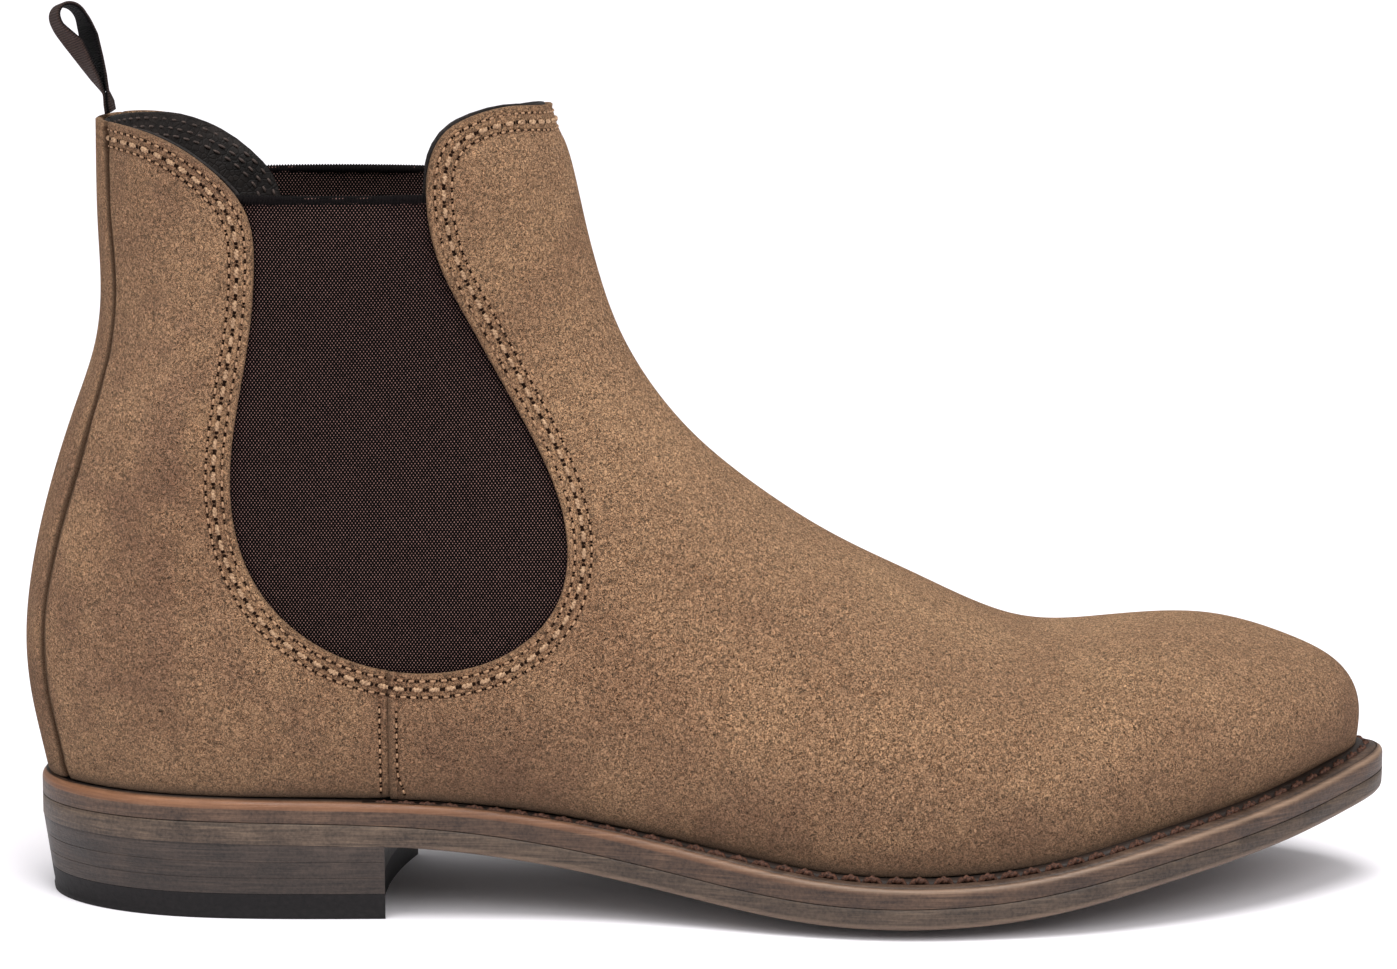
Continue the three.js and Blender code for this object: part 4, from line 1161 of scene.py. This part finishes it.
def edge_strip(name, ends, steps, groove, node):
    sides, reach = strip_path(ends, steps)
    x0, _ = edge_point(sides, reach, 0)
    inset, bevel = UPPER_INSET(x0), table(EDGE_BEVEL, x0)
    orange, corner_highlight = table(EDGE_GLOW, x0), table(EDGE_HIGHLIGHT, x0)
    bottom, top, rise = outsole_top(x0) + GAP * 0.2, welt_top(x0), WELT_RISE(x0)
    rows = Rows()

    def row(u, z, dim=0.0, lit=0.0, pale=0.0):
        x, y = edge_point(sides, reach, u)
        rows.add(x, y, z, glow=lit, pale=pale, shadow=np.maximum(dim, fore_darkening(x)))

    def top_row(u, drop, dim):
        row(u, top + rise * u - drop, dim)

    reach_in = np.full(len(x0), WELT_REACH)
    row(reach_in, outsole_top(x0) + GAP, 1)
    row(0.5, bottom, 0.9)
    row(0.08, bottom + 0.06, 0.3)
    row(0, bottom + 0.25)
    row(0, top - bevel - 0.15)
    # Round the top corner; the pale share paints a highlight along it.
    for k, share in enumerate((0, 0.2, 0.7, 1, 0.8, 0.3)):
        turn = k / 5 * QUARTER_TURN
        lit = orange * math.sin(math.pi * (k + 0.7) / 6.2) ** 0.5
        row(bevel * 0.75 * (1 - np.cos(turn)), top - bevel * (1 - math.sin(turn)), 0, lit, corner_highlight * share)
    flat = bevel * 0.75
    row(flat + 0.25, top + rise * flat, 0.1, 0.3 * orange)
    row(flat + 0.45, top + rise * flat - (0.3 if groove else 0), 0.9 if groove else 0.25)
    row(flat + 0.65, top + rise * flat, 0.2)
    for offset, drop, dim in STITCH_CHANNEL if groove else ():
        top_row(inset * STITCH_PLACE + offset, drop, dim)
    top_row(inset - 0.9, 0, 0.85)
    row(inset - 0.1, top + rise * inset - 0.1, 1)
    row(inset + 1.2, top + rise * inset - 0.3, 1)
    row(reach_in, top + rise * inset - 0.5, 1)
    rows.piece(name, WELT, "welt_leather", node, sharp=60)


edge_strip("welt_strip", ((-1, WELT_END), 0.0, (1, WELT_END)), 260, True, "welt")
edge_strip("heel_rand_strip", ((1, WELT_END), 1.0, (-1, WELT_END)), 120, False, "heel_rand")

sides, reach = strip_path(((-1, STITCH_END), 0.0, (1, STITCH_END)), 300)
x, y = edge_point(sides, reach, lambda at: UPPER_INSET(at) * STITCH_PLACE)
rise = WELT_RISE(x) * UPPER_INSET(x) * STITCH_PLACE
points = np.stack([x, y, welt_top(x) + rise], -1)
out_x, out_y = edge_point(sides, reach, 0)
outward = np.stack([out_x - x, out_y - y, -rise], -1)
normal = np.cross(outward, np.gradient(points, axis=0))
normal *= np.sign(normal[:, 2:3])
normal /= np.linalg.norm(normal, axis=1, keepdims=True)
welt_path = Path(points, normal)
welt_thread = Collector()
stitch_row(welt_path, welt_thread, **WELT_ROW, arch=lambda at: table(STITCH_ARCH, at))
piece = welt_thread.piece("welt_stitches", THREAD_DARK, "thread")
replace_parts(piece, "welt_stitch")


# ---- outsole and heel
def sole_ring(steps):
    """Reach pairs from the toe to the heel, closer together at both ends."""
    return (1 - np.cos(np.linspace(0, math.pi, steps))) / 2


# Round the outsole's edge: inset, height, how pale, and how dark with painted shade.
OUTSOLE_EDGE = [
    (4, OUTSOLE_T, 0, 1), (0.14, OUTSOLE_T, 0, 0.5), (0, OUTSOLE_T - 0.14, 0, 0), (0, 3.0, 0, 0),
    (0.06, 1.75, 0, 0.05), (0.1, 1.6, 0, 0.35), (0.06, 1.45, 0.1, 0), (0.25, 0.75, 0.36, 0),
    (0.7, 0.25, 0.3, 0), (1.3, 0, 0, 0),
]


def outsole_piece():
    steps, columns = 230, 13
    reach = sole_ring(steps)
    reach[0], reach[-1] = 0.0004, 0.9996
    rows = Rows()

    def edge(side, order):
        for u, up, lit, dim in OUTSOLE_EDGE[::order]:
            free = 1.0
            if up < 2:
                free = 0.12 + 0.88 * smooth_share(edge_point(side, reach, 0)[0], -78, -66)
            x, y = edge_point(side, reach, u * free)
            # Painted shade from the table, and the edges darker in front of the breast.
            darkening = np.maximum(dim * free, 2 * fore_darkening(x))
            rows.add(x, y, SOLE_EDGE(x) + up * free, pale=lit * smooth_share(x, -70, -50), shadow=darkening)

    edge(-1, 1)
    x0, y0 = edge_point(-1, reach, OUTSOLE_EDGE[-1][0])
    x1, y1 = edge_point(1, reach, OUTSOLE_EDGE[-1][0])
    for share in np.arange(1, columns) / columns:
        x, y = x0 + (x1 - x0) * share, y0 + (y1 - y0) * share
        ends = np.minimum(1, np.minimum(4 * reach, 4 * (1 - reach)))
        crown = SOLE_CROWN(x) * (1 - (2 * share - 1) ** 2) * ends
        rows.add(x, y, SOLE_EDGE(x) - crown, pale=0, shadow=0)
    edge(1, -1)
    rows.piece("outsole_leather", OUTSOLE, "outsole_leather", "outsole", way=-1)


outsole_piece()


def reach_of_x(side, x):
    low, high = 0.5, 1.0
    for _ in range(30):
        middle = (low + high) / 2
        if edge_point(side, middle, 0)[0] > x:
            low = middle
        else:
            high = middle
    return low


# how far the ends of the breast lie before or behind its middle
BREAST_ENDS = {-1: -1.5, 1: 2.5}
HEEL_REACH = {side: reach_of_x(side, BREAST_X + shift) for side, shift in BREAST_ENDS.items()}
HEEL_STEPS = 70
BREAST_STEPS = 24


def heel_ring(inset, height):
    outer = HEEL_REACH[-1] + (1 - HEEL_REACH[-1]) * np.linspace(0, 1, HEEL_STEPS)
    inner = HEEL_REACH[1] + (1 - HEEL_REACH[1]) * np.linspace(1, 0, HEEL_STEPS)[1:]
    side = np.repeat([-1, 1], [HEEL_STEPS, HEEL_STEPS - 1])
    x, y = edge_point(side, np.concatenate([outer, inner]), inset)
    z = height(x) if callable(height) else np.full(len(x), float(height))
    ring = np.stack([x, y, z], -1)
    share = np.linspace(0, 1, BREAST_STEPS)[1:-1]
    breast = ring[-1] + (ring[0] - ring[-1]) * share[:, None]
    breast[:, 0] -= BREAST_DIP * (1 - (2 * share - 1) ** 2)
    return np.vstack([ring, breast])[::-1]


LAST_LIFT = 3.7
LIFT_CLEAR = 0.02
LIP = 0.25
LIP_TOP = 1.0


def heel_layer(name, node, bottom, top, material, slot, lip=0.0):
    """One layer of the heel. Where top is a function, the layer's top follows the sole."""
    soft = 0.05
    flat_top = bottom + LAST_LIFT if callable(top) else top
    layer = [(soft * 1.2, bottom, 0.2), (-lip, bottom + soft, 0), (-lip, bottom + soft * 2.2, 0)]
    if lip:
        layer += [(-lip, bottom + LIP_TOP, 0), (0.0, bottom + LIP_TOP + lip, 0.5)]
    layer += [(0.0, flat_top - soft * 2.2, 0), (0.0, flat_top - soft, 0), (soft * 1.2, flat_top, 0.2)]
    rows = Rows()
    for inset, z, dim in layer:
        taper = HEEL_TAPER * (1 - z / HEEL_TOP) + HEEL_SETBACK
        last = z == flat_top
        ring = heel_ring(taper + inset, top if last else z)
        rows.add(*ring.T, shadow=dim if last else dim + 0.4 * (1 - z / HEEL_TOP))
    rows.piece(name, material, slot, node, axis=0, sharp=60)


lift_step = (HEEL_TOP - TOP_LIFT_T) / LIFTS
heel_layer("rubber_top_lift", "top_lift", 0.0, TOP_LIFT_T, RUBBER, "rubber_top_lift", lip=LIP)
for k in range(LIFTS):
    bottom = TOP_LIFT_T + k * lift_step + LIFT_CLEAR
    top = TOP_LIFT_T + (k + 1) * lift_step if k < LIFTS - 1 else (lambda x: SOLE_EDGE(x) - LIFT_CLEAR)
    heel_layer("leather_lift_%d" % (LIFTS - k), "heel_lift_%d" % (LIFTS - k), bottom, top, STACK,
               "stack_leather")


def sock_piece():
    reach = sole_ring(120) * 0.984 + 0.008
    inset = lambda at: UPPER_INSET(at) + LINING_DEPTH + LINING_T + 2
    x0, y0 = edge_point(-1, reach, inset)
    x1, y1 = edge_point(1, reach, inset)
    share = np.linspace(0, 1, 14)
    rows = Rows()
    for up, order in ((SOCK_T, share), (0, share[::-1])):
        for k in order:
            x, y = x0 + (x1 - x0) * k, y0 + (y1 - y0) * k
            dish = 0.5 * (2 * k - 1) ** 2 * (up > 0)
            rows.add(x, y, seat_top(x) + GAP + BOARD_T + GAP + up + dish)
    rows.piece("sock_liner_leather", SOCK, "lining_leather", "sock_liner")


sock_piece()


# ---- the pull loop
LOOP_LEG = [(0, 0.45), (4.5, 0.46), (8, 0.8), (12, 1.35), (17, 2.1), (20, 2.7), (22.4, 2.9), (24.6, 2.2)]
RIBBON_HALF = 4.0
RIBBON_THICK = 0.42


def turned(a, b, degrees):
    turn = np.radians(degrees)
    return a * np.cos(turn) - b * np.sin(turn), a * np.sin(turn) + b * np.cos(turn)


def loop_piece():
    curve = Curve(LOOP_LEG + [(LOOP_HEIGHT - 0.45, 0)] + [(up, -out) for up, out in reversed(LOOP_LEG)])
    run = np.linspace(0, curve.run[-1], 200)
    here = curve(run)
    direction = curve(run + 0.1) - here
    direction /= np.linalg.norm(direction, axis=1, keepdims=True)
    side = [(a, RIBBON_THICK) for a in np.linspace(-1, 1, 9) * (RIBBON_HALF - 0.35)]
    side += [(RIBBON_HALF, RIBBON_THICK / 2), (RIBBON_HALF, -RIBBON_THICK / 2)]
    a, b = np.array(side + [(-a, -b) for a, b in side]).T
    up, out = here[:, :1], here[:, 1:]
    x, y = turned(out + direction[:, :1] * b, a, table(LOOP_TWIST, up))
    x, z = turned(x + table(LOOP_BOW, up), up - direction[:, 1:] * b, LOOP_LEAN)
    points, faces = lofted(np.stack([x, y, z], -1))
    # inside marks the ribbon's inner face, which the ribbon material paints near black as shade.
    facts = {
        key: np.broadcast_to(value, x.shape).ravel()
        for key, value in (("across", a), ("down", run[:, None]), ("inside", b < 0))
    }
    piece = make("ribbon_pull_loop", points + LOOP_ROOT, faces, RIBBON, "pull_loop", facts)
    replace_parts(piece, "pull_loop")


loop_piece()


# ---- floor, light, camera
# nearly white, so that it burns out to white around the shadow
FLOOR_COLOR = (243.45, 240.44, 244.63)


def stage_floor():
    mesh = bpy.data.meshes.new("floor")
    corners = [(-6, -6, 0), (6, -6, 0), (6, 6, 0), (-6, 6, 0)]
    mesh.from_pydata(corners, [], [(0, 1, 2, 3)])
    m = Shader("paper_floor")
    mesh.materials.append(m.finish(FLOOR_COLOR, 0.9, Specular_IOR_Level=0.1))
    floor = bpy.data.objects.new("floor", mesh)
    bpy.context.scene.collection.objects.link(floor)
    floor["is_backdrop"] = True


stage_floor()

world = bpy.data.worlds.new("studio")
bpy.context.scene.world = world
world.use_nodes = True
world.node_tree.nodes["Background"].inputs[0].default_value = (1, 1, 1, 1)
world.node_tree.nodes["Background"].inputs[1].default_value = 0.46
bpy.context.scene.view_settings.view_transform = "Standard"


def add_light(kind, name, power, size, place, aim):
    data = bpy.data.lights.new(name, kind)
    data.energy = power
    if kind == "SUN":
        data.angle = math.radians(size)
    else:
        data.size = size
    light = bpy.data.objects.new(name, data)
    light.location = place
    light.rotation_euler = (Vector(aim) - Vector(place)).to_track_quat("-Z", "Y").to_euler()
    bpy.context.scene.collection.objects.link(light)


add_light("SUN", "overhead", 2.7, 34, (0.0, -0.35, 1.5), (0, 0, 0))
add_light("AREA", "key", 11, 0.9, (0.6, -1.1, 1.1), (0, 0, 0.08))
add_light("AREA", "fill", 3, 1.2, (-0.9, -1.0, 0.6), (0, 0, 0.08))

camera_data = bpy.data.cameras.new("camera")
camera_data.lens = 119.88
camera_data.sensor_width = 36.0
camera_data.clip_start, camera_data.clip_end = 0.01, 50.0
camera = bpy.data.objects.new("camera", camera_data)
camera.location = (-0.0025, -1.030, 0.262)
camera.rotation_euler = (math.radians(80.612), 0, 0)
bpy.context.scene.collection.objects.link(camera)
bpy.context.scene.camera = camera

low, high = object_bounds()
